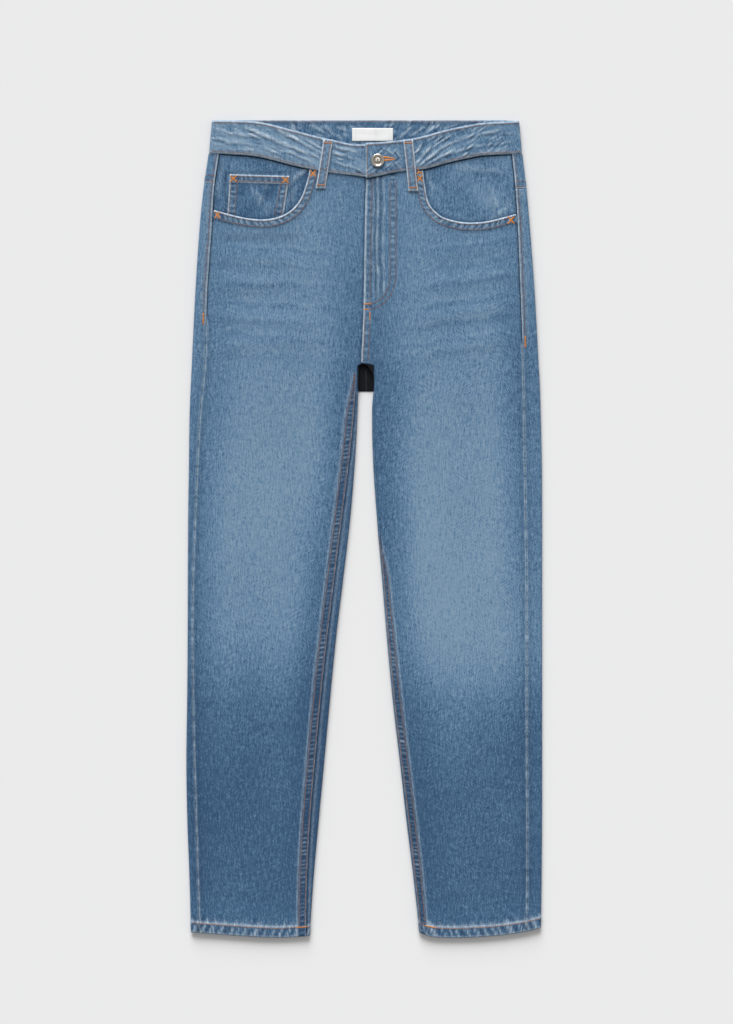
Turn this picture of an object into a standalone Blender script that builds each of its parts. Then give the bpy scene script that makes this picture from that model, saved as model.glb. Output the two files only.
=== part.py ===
# Straight ankle jeans, laid flat on their back with the fly up
#
# The frame is in metres with +Z up. +Y runs to the waist, +X to the wearer's left, and the
# underside rests on Z = 0. Sizes below are in millimetres, and MM turns them into metres.
# X is measured from the centre line in the tables, and every point moves by OUTLINE_MIDDLE,
# which puts the middle of the whole outline over the origin.
import math

import bmesh
import bpy

MM = 0.001
OUTLINE_MIDDLE = 2.2

# Cloth and gaps
CLOTH = 1.2
DOUBLE_CLOTH = 2.4
SEAM_GAP = 0.3
HALF_GAP = SEAM_GAP / 2
LAYER = CLOTH + SEAM_GAP

RIGHT = -1
LEFT = 1
SIDE_NAMES = {RIGHT: "right", LEFT: "left"}

# Colours
FADED = (0.13, 0.22, 0.35)
DARK = (0.09, 0.17, 0.29)
WHITE = (0.8, 0.8, 0.79)
METAL = (0.55, 0.54, 0.52)
CLOTH_ROUGHNESS = 0.85
METAL_ROUGHNESS = 0.38

# Outline of the two legs: distance out from the centre line at each height
# y, inner fold, inseam, outseam, outer fold
RIGHT_LEG = (
    (462, 8.6, 11.8, 179.2, 192.2),
    (415, 8.6, 11.8, 185.8, 198.9),
    (366, 8.6, 11.8, 188.7, 203.8),
    (292, 8.6, 11.8, 194.0, 208.7),
    (200, 8.6, 11.8, 197.0, 213.2),
    (146, 10.2, 14.0, 202.4, 215.6),
    (84, 13.5, 20.3, 206.1, 216.6),
    (11, 19.6, 29.4, 209.1, 217.6),
    (-62, 28.1, 38.5, 211.7, 218.0),
    (-136, 37.0, 47.4, 212.6, 218.2),
    (-209, 44.1, 55.2, 211.4, 218.8),
    (-283, 51.0, 61.9, 210.0, 219.8),
    (-356, 57.8, 68.0, 207.8, 218.6),
    (-430, 64.4, 71.9, 205.6, 215.8),
    (-500, 68.8, 73.0, 203.5, 214.2),
)
LEFT_LEG = (
    (462, 2.4, 9.0, 178.0, 190.9),
    (415, 2.4, 9.0, 182.8, 196.4),
    (366, 2.4, 9.0, 185.8, 200.7),
    (292, 2.4, 9.0, 188.9, 206.2),
    (200, 2.4, 9.0, 192.2, 211.3),
    (186, 9.4, 12.6, 192.5, 212.2),
    (146, 7.4, 10.6, 193.2, 213.6),
    (84, 8.6, 11.8, 194.3, 215.0),
    (11, 13.5, 16.7, 195.5, 215.4),
    (-62, 19.6, 22.8, 196.5, 215.4),
    (-136, 25.7, 30.4, 196.8, 215.4),
    (-209, 32.6, 38.0, 196.7, 215.4),
    (-283, 41.2, 47.0, 196.9, 215.4),
    (-356, 49.4, 55.8, 197.6, 215.4),
    (-430, 58.4, 64.0, 197.5, 214.8),
    (-500, 65.0, 69.4, 196.7, 214.0),
)
LEGS = {RIGHT: RIGHT_LEG, LEFT: LEFT_LEG}
INNER_FOLD = 1
INSEAM = 2
OUTSEAM = 3
OUTER_FOLD = 4

# Height of the front's outer face above the floor
# y, at the folds, between them
HEIGHTS = (
    (462, 6.1, 5.8),
    (366, 6.0, 5.8),
    (292, 5.8, 5.4),
    (200, 5.2, 4.8),
    (84, 4.4, 3.8),
    (-356, 4.4, 3.7),
    (-455, 4.7, 4.2),
    (-484, 5.5, 5.4),
    (-500, 5.5, 5.4),
)
AT_FOLDS = 1
BETWEEN = 2
FOLD_SWELL = 12.0
CROTCH_SWELL_START = 230
CROTCH_SWELL_FULL = 168

# Bottom edge of each hem: distance out from the centre line, y
HEM_EDGES = {
    RIGHT: ((66, -497.6), (109, -499.8), (165, -496.8), (216, -493.0)),
    LEFT: ((64, -493.0), (80, -498.6), (112, -500.0), (159, -497.4), (195, -492.4), (216, -487.0)),
}
HEM_LEVEL = -500
HEM_TOP = -487.5
HEM_STEP = 1.5
HEM_BEND_START = -430

# Crotch: where the fronts part, and where the back's web between the legs ends
CROTCH_TOP = 204
SLOT_ROWS = (200, 190, 179)
WEB_END = 168
NOTCH = 1.0

# Centre front: y, x of the edge of the left front where it laps over the right
CENTRE_FRONT = ((440, 0.8), (400, -0.8), (268, -3.2), (200, -6.2))
# The fly's raised width and how far the right front runs on beneath it: y, width
FLY_WIDTH = ((440, 30), (320, 30), (290, 24), (268, 14), (200, 13))
UNDERLAP = ((440, 26), (320, 26), (290, 18), (268, 6), (200, 5))
FLY_RAMP = 12
LAP_STEP = 1.55
# Extra gap below the waistband where the fronts lap, fading out away from the lap
LAP_WAIST_GAP = 0.8
LAP_WAIST_GAP_FROM = 18
LAP_WAIST_GAP_TO = 34

# Waistband edges on the front: distance out from the centre line, top y, bottom y
FRONT_BAND = {
    RIGHT: (
        (-27, 471.8, 437.4), (-12, 471.0, 433.6), (-0.7, 470.6, 430.6), (17, 470.8, 432.4),
        (38, 475.4, 434.8), (52, 478.2, 436.8), (87, 487.2, 444.0), (122, 496.2, 453.0),
        (143, 499.0, 456.6), (192, 500.0, 459.3),
    ),
    LEFT: (
        (-0.7, 472.2, 428.6), (15, 472.8, 431.4), (30, 474.0, 434.8), (44, 475.6, 437.2),
        (60, 478.2, 438.9), (73, 481.2, 440.2), (98, 488.2, 447.2), (125, 493.8, 453.4),
        (143, 496.7, 456.6), (192, 499.2, 458.8),
    ),
}
BAND_TOP = 1
BAND_BOTTOM = 2
BACK_BAND_TOP = 500.0
BACK_BAND_BOTTOM = 461.5
BAND_HEIGHT_ABOVE_FLOOR = 6.4
BAND_FOLD_OUT = {RIGHT: (188.5, 192.0), LEFT: (187.3, 190.8)}
BAND_ROWS = (0.0, 0.5, 1.0)
BAND_RIGHT_COLUMNS = (-27, -12, 0, 10, 20, 29, 38, 45, 52, 60, 70, 87, 104, 122, 143, 168)
BAND_LEFT_COLUMNS = (168, 143, 125, 110, 98, 85, 73, 66, 60, 52, 44, 39, 35, 30, 15, -0.7)
BAND_BACK_COLUMNS = (168, 140)
OVERLAP_STEP = DOUBLE_CLOTH + SEAM_GAP
OVERLAP_FULL = 30
OVERLAP_END = 44

# Belt loops
LOOP_WIDTH = 12
LOOP_THICKNESS = 2.0
# How a loop arches: share of its length, what lies under it, and its rise over that
LOOP_ARCH = (
    (0.0, "band", 0.0), (0.12, "band", 0.5), (0.35, "band", 0.9), (0.6, "band", 0.6),
    (0.8, "band", 0.1), (0.9, "front", 0.2), (1.0, "front", 0.0),
)
# x and y of the middle of each front loop's top end, and of its bottom end
FRONT_LOOPS = {
    RIGHT: (-46.2, 476.0, -55.5, 416.2),
    LEFT: (51.4, 476.0, 58.0, 412.8),
}
BACK_LOOPS = {"right": -100, "centre": 0, "left": 100}
BACK_LOOP_TOP = 499.0
BACK_LOOP_BOTTOM = 438.0
BACK_LOOP_THICKNESS = 1.0
BACK_LOOP_RAISE = BACK_LOOP_THICKNESS + SEAM_GAP
STRIP_EDGE = 0.3
LOOP_CLEAR = 2
LOOP_RAMP = 8

# Yokes: y of their lower seam at the outseam and at the centre back
YOKE_SIDE = {RIGHT: 422.8, LEFT: 416.0}
YOKE_CENTRE = 388.0

# Back pockets, as they lie flat on the underside: distance out, y of each corner
BACK_POCKET = ((36, 350), (172, 362), (161, 238), (104, 208), (46, 226))
BACK_POCKET_THICKNESS = 1.1
BACK_POCKET_RAISE = BACK_POCKET_THICKNESS + SEAM_GAP
# Where the back panel lies fully over a pocket: distance out from and to, y from and to
POCKET_RAISE_OUT = (28, 180)
POCKET_RAISE_Y = (200, 370)
POCKET_RAMP = 12

# Pocket mouths: distance out, y, from the waistband seam down and out to the outseam
POCKET_MOUTHS = {
    RIGHT: ((69.6, 446), (70.2, 434), (74.7, 417.8), (80.2, 404), (90, 391.4), (104, 382.9),
            (122.4, 378.8), (143.2, 379.9), (164.4, 384.3), (192, 392.0)),
    LEFT: ((69.4, 446), (70.4, 434), (72.8, 417), (77.1, 398.6), (86.9, 386.5), (98.4, 379.9),
           (119.7, 375.2), (144.4, 375.9), (168.9, 381.4), (192, 388.0)),
}
MOUTH_STEPS = 3
MOUTH_CUT_LOW = 3.6
MOUTH_CUT_HIGH = 14.0
MOUTH_CUT_TOP = 475
MOUTH_CUT_OUT = 215

# Facings inside the pocket mouths
FACING_INNER = 57
FACING_BOTTOM = 365
FACING_HEIGHT = 4.1
FACING_AT_SEAM = 1.7
FACING_SLOPE = 7.0
FACING_RISE_FROM_TO = (392, 412)
FACING_SHARES_UP = (1.0, 0.8, 0.6, 0.4, 0.2, 0.0)
FACING_SHARES_ACROSS = (0.0, 0.03, 0.08, 0.16, 0.3, 0.5, 0.75, 1.0)
FACING_GAP = 0.5
FACING_WAIST_GAP = 1.4

# Coin pocket on the right facing: distance out at top and bottom of its two sides
COIN_OUTER = (166.6, 170.2)
COIN_INNER = (93.5, 102.2)
COIN_TOP = (434.0, 431.9)
COIN_BOTTOM = 371.0
COIN_SHARES_DOWN = (0.0, 0.15, 0.45, 0.75, 1.0)
COIN_SHARES_ACROSS = (0.0, 0.1, 0.3, 0.5, 0.75, 1.0)
# How the front rises over the coin pocket: height, distance out from and to, and y
COIN_RAISE = 1.35
COIN_RAISE_OUT = (90, 174)
COIN_RAISE_FROM_TO = (350, 364)
COIN_RAMP = 12

# Soft creases across the fronts: distance out and y of the outer and inner end, height
CREASES = {
    RIGHT: ((188, 338, 60, 326, 0.7), (190, 296, 70, 306, 0.8), (192, 262, 40, 250, 0.8),
            (194, 222, 50, 234, 0.6)),
    LEFT: ((182, 352, 60, 330, 0.6), (186, 316, 60, 294, 0.8), (188, 276, 40, 252, 0.8),
           (190, 236, 60, 214, 0.6)),
}
CREASE_HALF_WIDTH = 10.0
CREASE_FULL = (0.2, 0.7)
CREASE_FADE = 0.3

# Label inside the back of the waistband: x from, x to, y from, y to
LABEL = (-17.0, 33.0, 474.3, 490.4)
LABEL_THICKNESS = 0.6
LABEL_COLUMNS = (-16, -8, 8, 16)

# Button: x and y of its middle, then its turned outline as radius and height above its foot
BUTTON = (14.3, 450.4)
BUTTON_PROFILE = (
    (4.6, 0.0), (7.4, 0.9), (8.3, 1.7), (7.9, 2.3), (6.7, 2.5), (5.9, 1.9), (2.6, 1.9), (2.0, 2.6),
)
BUTTON_MIDDLE_HEIGHT = 2.7
BUTTON_SEGMENTS = 28

# Rows of the sheets, from the waist down
YOKE_ROWS = (448.0, 436.0, 428.0)
YOKE_COLUMNS = (168, 140, 116, 108, 92, 84, 50, 16, 8, HALF_GAP)
LEG_ROWS = (140, 112, 84, 40, -5, -50, -100, -150, -200, -250, -300, -350, -400, -440, -466)
HEM_ROWS = (HEM_TOP + HEM_STEP, HEM_TOP, HEM_LEVEL)
FRONT_HIP_ROWS = (420, 404, 390, 376, 362, 348, 334, 320, 306, 292, 278, 264, 250, 236, 222)
BACK_HIP_ROWS = (370, 328, 284, 240, 200, 186)
POCKET_COLUMNS = (0.0, 0.053, 0.126, 0.326, 0.516, 0.716, 0.916, 1.0)
WEB_COLUMN = 12.0
FRONT_COLUMNS = (0.0, 0.08, 0.17, 0.27, 0.38, 0.49, 0.6, 0.7, 0.79, 0.86, 0.915, 0.96, 1.0)
FOLD_ANGLES = (45, 90, 135)


def smooth_step(low, high, value):
    """0 at low, 1 at high, with a soft start and end."""
    t = min(max((value - low) / (high - low), 0.0), 1.0)
    return t * t * (3 - 2 * t)


def bump(value, low, high, ramp):
    """1 from low to high, falling to 0 over ramp on both sides."""
    return smooth_step(low - ramp, low, value) * (1 - smooth_step(high, high + ramp, value))


def along(table, key, column):
    """A smooth curve through one column of a table whose first column rises or falls."""
    rows = sorted(table)
    keys = [row[0] for row in rows]
    values = [row[column] for row in rows]
    if key <= keys[0]:
        return values[0]
    if key >= keys[-1]:
        return values[-1]
    i = max(n for n, k in enumerate(keys) if k <= key)
    span = keys[i + 1] - keys[i]
    t = (key - keys[i]) / span
    slopes = []
    for n in (i, i + 1):
        before = max(n - 1, 0)
        after = min(n + 1, len(keys) - 1)
        slopes.append(span * (values[after] - values[before]) / (keys[after] - keys[before]))
    start = values[i] * (1 + 2 * t) * (1 - t) ** 2 + slopes[0] * t * (1 - t) ** 2
    return start + values[i + 1] * t * t * (3 - 2 * t) + slopes[1] * t * t * (t - 1)


def leg_edge(side, y, column):
    return along(LEGS[side], y, column)


def centre_front(side, y):
    """Distance out to the centre front edge, on this side."""
    return side * along(CENTRE_FRONT, y, 1)


def waist_line(side, out):
    """y of the seam between the waistband and the front."""
    return along(FRONT_BAND[side], out, BAND_BOTTOM)


def yoke_line(side, out):
    """y of the seam between the yoke and the back panel."""
    level = YOKE_SIDE[side]
    reach = leg_edge(side, level, OUTER_FOLD) - fold_height(level) / 2
    t = min(max(out / reach, 0.0), 1.0)
    return YOKE_CENTRE + (YOKE_SIDE[side] - YOKE_CENTRE) * t


def hem_bend(side, out, y):
    """y moved so that the lowest row follows the hem's edge."""
    share = 1 - smooth_step(HEM_TOP, HEM_BEND_START, y)
    return y + share * (along(HEM_EDGES[side], out, 1) - HEM_LEVEL)


def fold_height(y):
    return along(HEIGHTS, y, AT_FOLDS)


def back_raise(side, out, y):
    """How far the back lies above the floor, over its pocket and its belt loops."""
    across = bump(out, *POCKET_RAISE_OUT, POCKET_RAMP)
    pocket = across * bump(y, *POCKET_RAISE_Y, POCKET_RAMP)
    x = side * out
    loops = 0.0
    low_end = BACK_LOOP_BOTTOM - LOOP_CLEAR
    for middle in BACK_LOOPS.values():
        half = LOOP_WIDTH / 2 + LOOP_CLEAR
        across = bump(x, middle - half, middle + half, LOOP_RAMP)
        loops = max(loops, across * smooth_step(low_end - LOOP_RAMP, low_end, y))
    return BACK_POCKET_RAISE * pocket + BACK_LOOP_RAISE * loops


def crease_height(side, out, y):
    """The soft creases that cross the front between hip and fly."""
    total = 0.0
    for out_a, y_a, out_b, y_b, height in CREASES[side]:
        length = math.hypot(out_b - out_a, y_b - y_a)
        along_x = (out_b - out_a) / length
        along_y = (y_b - y_a) / length
        forward = ((out - out_a) * along_x + (y - y_a) * along_y) / length
        across = (out - out_a) * along_y - (y - y_a) * along_x
        ends = bump(forward, *CREASE_FULL, CREASE_FADE)
        total += height * ends * math.exp(-((across / CREASE_HALF_WIDTH) ** 2))
    return total


def front_height(side, out, y):
    """Height of the front's outer face, without the fly's lap."""
    between = along(HEIGHTS, y, BETWEEN)
    swell = math.exp(-max(leg_edge(side, y, OUTSEAM) - out, 0) / FOLD_SWELL)
    inner = math.exp(-max(out - leg_edge(side, y, INSEAM), 0) / FOLD_SWELL)
    swell += inner * (1 - smooth_step(CROTCH_SWELL_FULL, CROTCH_SWELL_START, y))
    height = between + (fold_height(y) - between) * min(swell, 1.0)
    if side == RIGHT:
        over_coin = bump(out, *COIN_RAISE_OUT, COIN_RAMP) * smooth_step(*COIN_RAISE_FROM_TO, y)
        height += COIN_RAISE * over_coin
    return height + crease_height(side, out, y)


def lap_height(y, out):
    """How far the left front rises over the right one's lap and the fly."""
    width = along(FLY_WIDTH, y, 1)
    edge = centre_front(LEFT, y)
    return LAP_STEP * (1 - smooth_step(edge + width, edge + width + FLY_RAMP, out))


def facing_height(side, out, y):
    """Height of the pocket facing's outer face: high at the outseam, low in the mouth."""
    rise = math.exp(-max(leg_edge(side, y, OUTSEAM) - out, 0) / FACING_SLOPE)
    open_mouth = smooth_step(*FACING_RISE_FROM_TO, y)
    return FACING_HEIGHT + FACING_AT_SEAM * rise * open_mouth


def fold(side, fold_out, height, y, inward):
    """Points round a fold, from its top to its underside, as x, y, z.

    fold_out is where the fold reaches to, and inward is 1 where the cloth lies on the
    centre line's side of it and -1 where it lies on the far side."""
    radius = height / 2
    middle = fold_out - inward * radius
    points = [(side * middle, y, height)]
    for angle in FOLD_ANGLES:
        turn = math.radians(angle)
        out = middle + inward * radius * math.sin(turn)
        points.append((side * out, y, radius + radius * math.cos(turn)))
    points.append((side * middle, y, 0.0))
    return points


def bent(points, side):
    """Points with their y moved to follow the hem's edge."""
    return [(x, hem_bend(side, side * x, y), z) for x, y, z in points]


def outer_wrap(side, y, seam_y=None):
    """The part of a back that turns round the outer fold to the outseam."""
    height = fold_height(y)
    lip = (side * (leg_edge(side, y, OUTSEAM) + HALF_GAP), y, height)
    return [lip] + fold(side, leg_edge(side, y, OUTER_FOLD), height, y, 1)


def inner_wrap(side, y):
    """The part of a back that turns round the inner fold to the inseam."""
    height = fold_height(y)
    lip = (side * (leg_edge(side, y, INSEAM) - HALF_GAP), y, height)
    return fold(side, leg_edge(side, y, INNER_FOLD), height, y, -1)[::-1] + [lip]


def material(name, colour, roughness, metallic=0.0):
    made = bpy.data.materials.new(name)
    made.use_nodes = True
    shader = made.node_tree.nodes["Principled BSDF"]
    shader.inputs["Base Color"].default_value = (*colour, 1.0)
    shader.inputs["Roughness"].default_value = roughness
    shader.inputs["Metallic"].default_value = metallic
    made.diffuse_color = (*colour, 1.0)
    return made


def place(point):
    x, y, z = point
    return ((x + OUTLINE_MIDDLE) * MM, y * MM, z * MM)


def add_object(name, bm, colour, roughness, metallic=0.0):
    mesh = bpy.data.meshes.new(name)
    bm.to_mesh(mesh)
    bm.free()
    made = bpy.data.objects.new(name, mesh)
    bpy.context.scene.collection.objects.link(made)
    mesh.materials.append(material(name, colour, roughness, metallic))
    return made


def add_wall(name, rows, flip, colour, thickness=CLOTH, shared=None, double_rows=()):
    """A cloth wall whose outer face runs through rows of points, its thickness inward.

    shared gives the number of columns that join two rows, where it isn't all of them.
    Rows in double_rows are as thick as turned cloth."""
    bm = bmesh.new()
    grid = [[bm.verts.new(place(p)) for p in row] for row in rows]
    for n, (upper, lower) in enumerate(zip(grid, grid[1:])):
        columns = min(len(upper), len(lower))
        if shared and n in shared:
            columns = shared[n]
        for a in range(columns - 1):
            corners = [upper[a], lower[a], lower[a + 1], upper[a + 1]]
            bm.faces.new(corners[::-1] if flip else corners)
    bm.verts.index_update()
    doubled = [v.index for n in double_rows for v in grid[n]]
    made = add_object(name, bm, colour, CLOTH_ROUGHNESS)
    made.data.shade_smooth()
    solid = made.modifiers.new("Cloth", "SOLIDIFY")
    solid.thickness = (DOUBLE_CLOTH if doubled else thickness) * MM
    solid.offset = -1.0
    solid.use_even_offset = True
    solid.use_quality_normals = True
    if doubled:
        group = made.vertex_groups.new(name="hem")
        group.add(doubled, 1.0, "REPLACE")
        solid.vertex_group = group.name
        solid.thickness_vertex_group = CLOTH / DOUBLE_CLOTH
    return made


def front_inner_edge(side, y):
    """Distance out of a front's inner edge: its lap, the slot or the inseam."""
    if y >= CROTCH_TOP:
        edge = centre_front(side, y)
        return edge if side == LEFT else edge - along(UNDERLAP, y, 1)
    if y >= WEB_END:
        return leg_edge(side, y, INNER_FOLD)
    return leg_edge(side, y, INSEAM) + HALF_GAP


def front_point(side, out, y):
    height = front_height(side, out, y)
    if side == LEFT and y >= WEB_END:
        fade = smooth_step(WEB_END, CROTCH_TOP, y)
        height += fade * lap_height(y, out)
    return (side * out, hem_bend(side, out, y), height)


def front_rows(side):
    levels = FRONT_HIP_ROWS + (CROTCH_TOP,) + SLOT_ROWS + (WEB_END, WEB_END - NOTCH)
    levels += LEG_ROWS + HEM_ROWS
    rows = []
    for y in levels:
        outer = leg_edge(side, y, OUTSEAM) - HALF_GAP
        inner = front_inner_edge(side, y)
        outs = [outer + (inner - outer) * t for t in FRONT_COLUMNS]
        rows.append([front_point(side, out, y) for out in outs])
    return waist_rows(side, rows[0]) + rows


def waist_rows(side, first):
    """Two rows above the first one, up to the waistband seam."""
    made = []
    for share in (1.0, 0.5):
        row = []
        for x, y, _ in first:
            out = side * x
            near_lap = 1 - smooth_step(LAP_WAIST_GAP_FROM, LAP_WAIST_GAP_TO, out)
            top = waist_line(side, out) - HALF_GAP - LAP_WAIST_GAP * near_lap
            row.append(front_point(side, out, y + (top - y) * share))
        made.append(row)
    return made


def mouth_cutter(side):
    """The prism that cuts a front's pocket mouth."""
    table = POCKET_MOUTHS[side]
    numbered = [(n, out, y) for n, (out, y) in enumerate(table)]
    last = len(table) - 1
    steps = [n / MOUTH_STEPS for n in range(last * MOUTH_STEPS + 1)]
    line = [(along(numbered, s, 1), along(numbered, s, 2)) for s in steps]
    outline = line + [(MOUTH_CUT_OUT, line[-1][1]), (MOUTH_CUT_OUT, MOUTH_CUT_TOP)]
    outline.append((line[0][0], MOUTH_CUT_TOP))
    bm = bmesh.new()
    foot = [bm.verts.new(place((side * out, y, MOUTH_CUT_LOW))) for out, y in outline]
    face = bm.faces.new(foot)
    raised = bmesh.ops.extrude_face_region(bm, geom=[face])
    tops = [v for v in raised["geom"] if isinstance(v, bmesh.types.BMVert)]
    bmesh.ops.translate(bm, verts=tops, vec=(0, 0, (MOUTH_CUT_HIGH - MOUTH_CUT_LOW) * MM))
    bmesh.ops.recalc_face_normals(bm, faces=bm.faces)
    cutter = add_object(f"mouth_cutter_{SIDE_NAMES[side]}", bm, (0.5, 0.5, 0.5), 0.8)
    cutter.hide_render = True
    cutter.display_type = "WIRE"
    return cutter


def add_front(side):
    rows = front_rows(side)
    double_rows = (len(rows) - 2, len(rows) - 1)
    name = f"front_panel_{SIDE_NAMES[side]}"
    front = add_wall(name, rows, side == LEFT, FADED, double_rows=double_rows)
    cut = front.modifiers.new("Pocket mouth", "BOOLEAN")
    cut.operation = "DIFFERENCE"
    cut.solver = "EXACT"
    cut.object = mouth_cutter(side)


def add_back(side):
    """A back panel: underside, both folds, and a narrow strip of the top at each seam."""
    rows = [back_seam_row(side, 0.0), back_seam_row(side, 0.5)]
    for y in BACK_HIP_ROWS + (WEB_END,):
        rows.append(back_hip_row(side, y))
    web_rows = len(rows)
    for y in (WEB_END - NOTCH,) + LEG_ROWS + HEM_ROWS:
        outer = outer_wrap(side, y)
        inner = inner_wrap(side, y)
        reach = side * outer[-1][0]
        near = side * inner[0][0]
        middle = [reach + (near - reach) * t for t in POCKET_COLUMNS[1:-1]]
        floor = [(side * out, y, back_raise(side, out, y)) for out in middle]
        rows.append(bent(outer + floor + inner, side))
    shared = {web_rows - 1: len(rows[0]) - 1}
    name = f"back_panel_{SIDE_NAMES[side]}"
    double_rows = (len(rows) - 2, len(rows) - 1)
    add_wall(name, rows, side == RIGHT, FADED, shared=shared, double_rows=double_rows)


def back_hip_row(side, y):
    """A row of the back from the outseam to the centre back."""
    row = outer_wrap(side, y)
    reach = side * row[-1][0]
    for t in POCKET_COLUMNS[1:]:
        out = reach + (WEB_COLUMN - reach) * t
        row.append((side * out, y, back_raise(side, out, y)))
    row.append((side * HALF_GAP, y, 0.0))
    return row


def back_seam_row(side, share):
    """A row between the yoke's seam, where share is 0, and the row below the seam."""
    below = BACK_HIP_ROWS[0]
    level = YOKE_SIDE[side] - HALF_GAP
    level += (below - level) * share
    row = outer_wrap(side, level)
    reach = side * row[-1][0]
    outs = [reach + (WEB_COLUMN - reach) * t for t in POCKET_COLUMNS[1:]]
    for out in outs + [HALF_GAP]:
        top = yoke_line(side, out) - HALF_GAP
        y = top + (below - top) * share
        row.append((side * out, y, back_raise(side, out, y)))
    return row


def add_yoke(side):
    """A yoke: it turns round the side to the outseam, below the waistband."""
    top = BACK_BAND_BOTTOM - HALF_GAP
    wrap = outer_wrap(side, waist_line(side, leg_edge(side, top, OUTER_FOLD)) - HALF_GAP)
    lip_x, lip_y, lip_z = wrap[0]
    wrap[0] = (lip_x, waist_line(side, side * lip_x) - HALF_GAP, lip_z)
    rows = [wrap + [(side * out, top, back_raise(side, out, top)) for out in YOKE_COLUMNS]]
    for y in YOKE_ROWS:
        row = outer_wrap(side, y)
        row += [(side * out, y, back_raise(side, out, y)) for out in YOKE_COLUMNS]
        rows.append(row)
    row = outer_wrap(side, YOKE_SIDE[side] + HALF_GAP)
    for out in YOKE_COLUMNS:
        y = yoke_line(side, out) + HALF_GAP
        row.append((side * out, y, back_raise(side, out, y)))
    rows.append(row)
    add_wall(f"back_yoke_{SIDE_NAMES[side]}", rows, side == RIGHT, DARK)


def add_back_pocket(side):
    bm = bmesh.new()
    corners = [bm.verts.new(place((side * out, y, 0.0))) for out, y in BACK_POCKET]
    face = bm.faces.new(corners)
    raised = bmesh.ops.extrude_face_region(bm, geom=[face])
    tops = [v for v in raised["geom"] if isinstance(v, bmesh.types.BMVert)]
    bmesh.ops.translate(bm, verts=tops, vec=(0, 0, BACK_POCKET_THICKNESS * MM))
    bmesh.ops.recalc_face_normals(bm, faces=bm.faces)
    add_object(f"back_pocket_{SIDE_NAMES[side]}", bm, FADED, CLOTH_ROUGHNESS)


def add_facing(side):
    """The denim inside a pocket mouth, from the outseam to a little beneath the front."""
    rows = []
    for share in FACING_SHARES_UP:
        row = []
        for t in FACING_SHARES_ACROSS:
            level = FACING_BOTTOM + (BACK_BAND_BOTTOM - FACING_BOTTOM) * share
            seam = leg_edge(side, level, OUTSEAM) - FACING_GAP
            out = seam + (FACING_INNER - seam) * t
            top = waist_line(side, out) - FACING_WAIST_GAP
            y = FACING_BOTTOM + (top - FACING_BOTTOM) * share
            row.append((side * out, y, facing_height(side, out, y)))
        rows.append(row)
    add_wall(f"pocket_facing_{SIDE_NAMES[side]}", rows, side == LEFT, DARK)


def add_coin_pocket():
    rows = []
    for share in COIN_SHARES_DOWN:
        outer = COIN_OUTER[0] + (COIN_OUTER[1] - COIN_OUTER[0]) * share
        inner = COIN_INNER[0] + (COIN_INNER[1] - COIN_INNER[0]) * share
        row = []
        for t in COIN_SHARES_ACROSS:
            out = outer + (inner - outer) * t
            top = COIN_TOP[0] + (COIN_TOP[1] - COIN_TOP[0]) * t
            y = top + (COIN_BOTTOM - top) * share
            row.append((RIGHT * out, y, facing_height(RIGHT, out, y) + LAYER))
        rows.append(row)
    add_wall("coin_pocket", rows, False, DARK)


def band_front_points(side, outs, share):
    """Points of the waistband's front part; share runs from its top to its bottom."""
    points = []
    for out in outs:
        top = along(FRONT_BAND[side], out, BAND_TOP)
        bottom = waist_line(side, out) + HALF_GAP
        height = BAND_HEIGHT_ABOVE_FLOOR
        if side == LEFT:
            height += OVERLAP_STEP * (1 - smooth_step(OVERLAP_FULL, OVERLAP_END, out))
        points.append((side * out, top + (bottom - top) * share, height))
    return points


def band_fold_points(side, share):
    top_out, bottom_out = BAND_FOLD_OUT[side]
    out = top_out + (bottom_out - top_out) * share
    top = along(FRONT_BAND[side], top_out, BAND_TOP)
    bottom = waist_line(side, bottom_out) + HALF_GAP
    y = top + (bottom - top) * share
    return fold(side, out, BAND_HEIGHT_ABOVE_FLOOR, y, 1)


def band_back_points(outs, share):
    top = BACK_BAND_TOP
    bottom = BACK_BAND_BOTTOM + HALF_GAP
    y = top + (bottom - top) * share
    return [(x, y, back_raise(LEFT, x, y)) for x in outs]


def add_waistband():
    """The band as one ring, open at the centre front, where its left end laps over."""
    half = LOOP_WIDTH / 2 + LOOP_CLEAR
    back = [-out for out in BAND_BACK_COLUMNS]
    for middle in BACK_LOOPS.values():
        back += [middle - half - LOOP_RAMP, middle - half, middle + half, middle + half + LOOP_RAMP]
    back += BAND_BACK_COLUMNS[::-1]
    rows = []
    for share in BAND_ROWS:
        row = band_front_points(RIGHT, BAND_RIGHT_COLUMNS, share) + band_fold_points(RIGHT, share)
        row += band_back_points(back, share) + band_fold_points(LEFT, share)[::-1]
        row += band_front_points(LEFT, BAND_LEFT_COLUMNS, share)
        rows.append(row)
    add_wall("waistband", rows, True, FADED, thickness=DOUBLE_CLOTH)


def add_strip(name, stations, width, thickness, colour):
    """A flat strip of cloth along stations of x, y, z, with rounded long edges."""
    half = width / 2
    edge = thickness * STRIP_EDGE
    ring = ((-half, edge), (-half, thickness - edge), (-half + edge, thickness),
            (half - edge, thickness), (half, thickness - edge), (half, edge),
            (half - edge, 0.0), (-half + edge, 0.0))
    bm = bmesh.new()
    rings = []
    for x, y, z in stations:
        rings.append([bm.verts.new(place((x + across, y, z + up))) for across, up in ring])
    for a, b in zip(rings, rings[1:]):
        for n in range(len(ring)):
            m = (n + 1) % len(ring)
            bm.faces.new((a[n], a[m], b[m], b[n]))
    bm.faces.new(rings[0][::-1])
    bm.faces.new(rings[-1])
    bmesh.ops.recalc_face_normals(bm, faces=bm.faces)
    made = add_object(name, bm, colour, CLOTH_ROUGHNESS)
    made.data.shade_smooth()
    made.data.set_sharp_from_angle(angle=math.radians(50))


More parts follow.
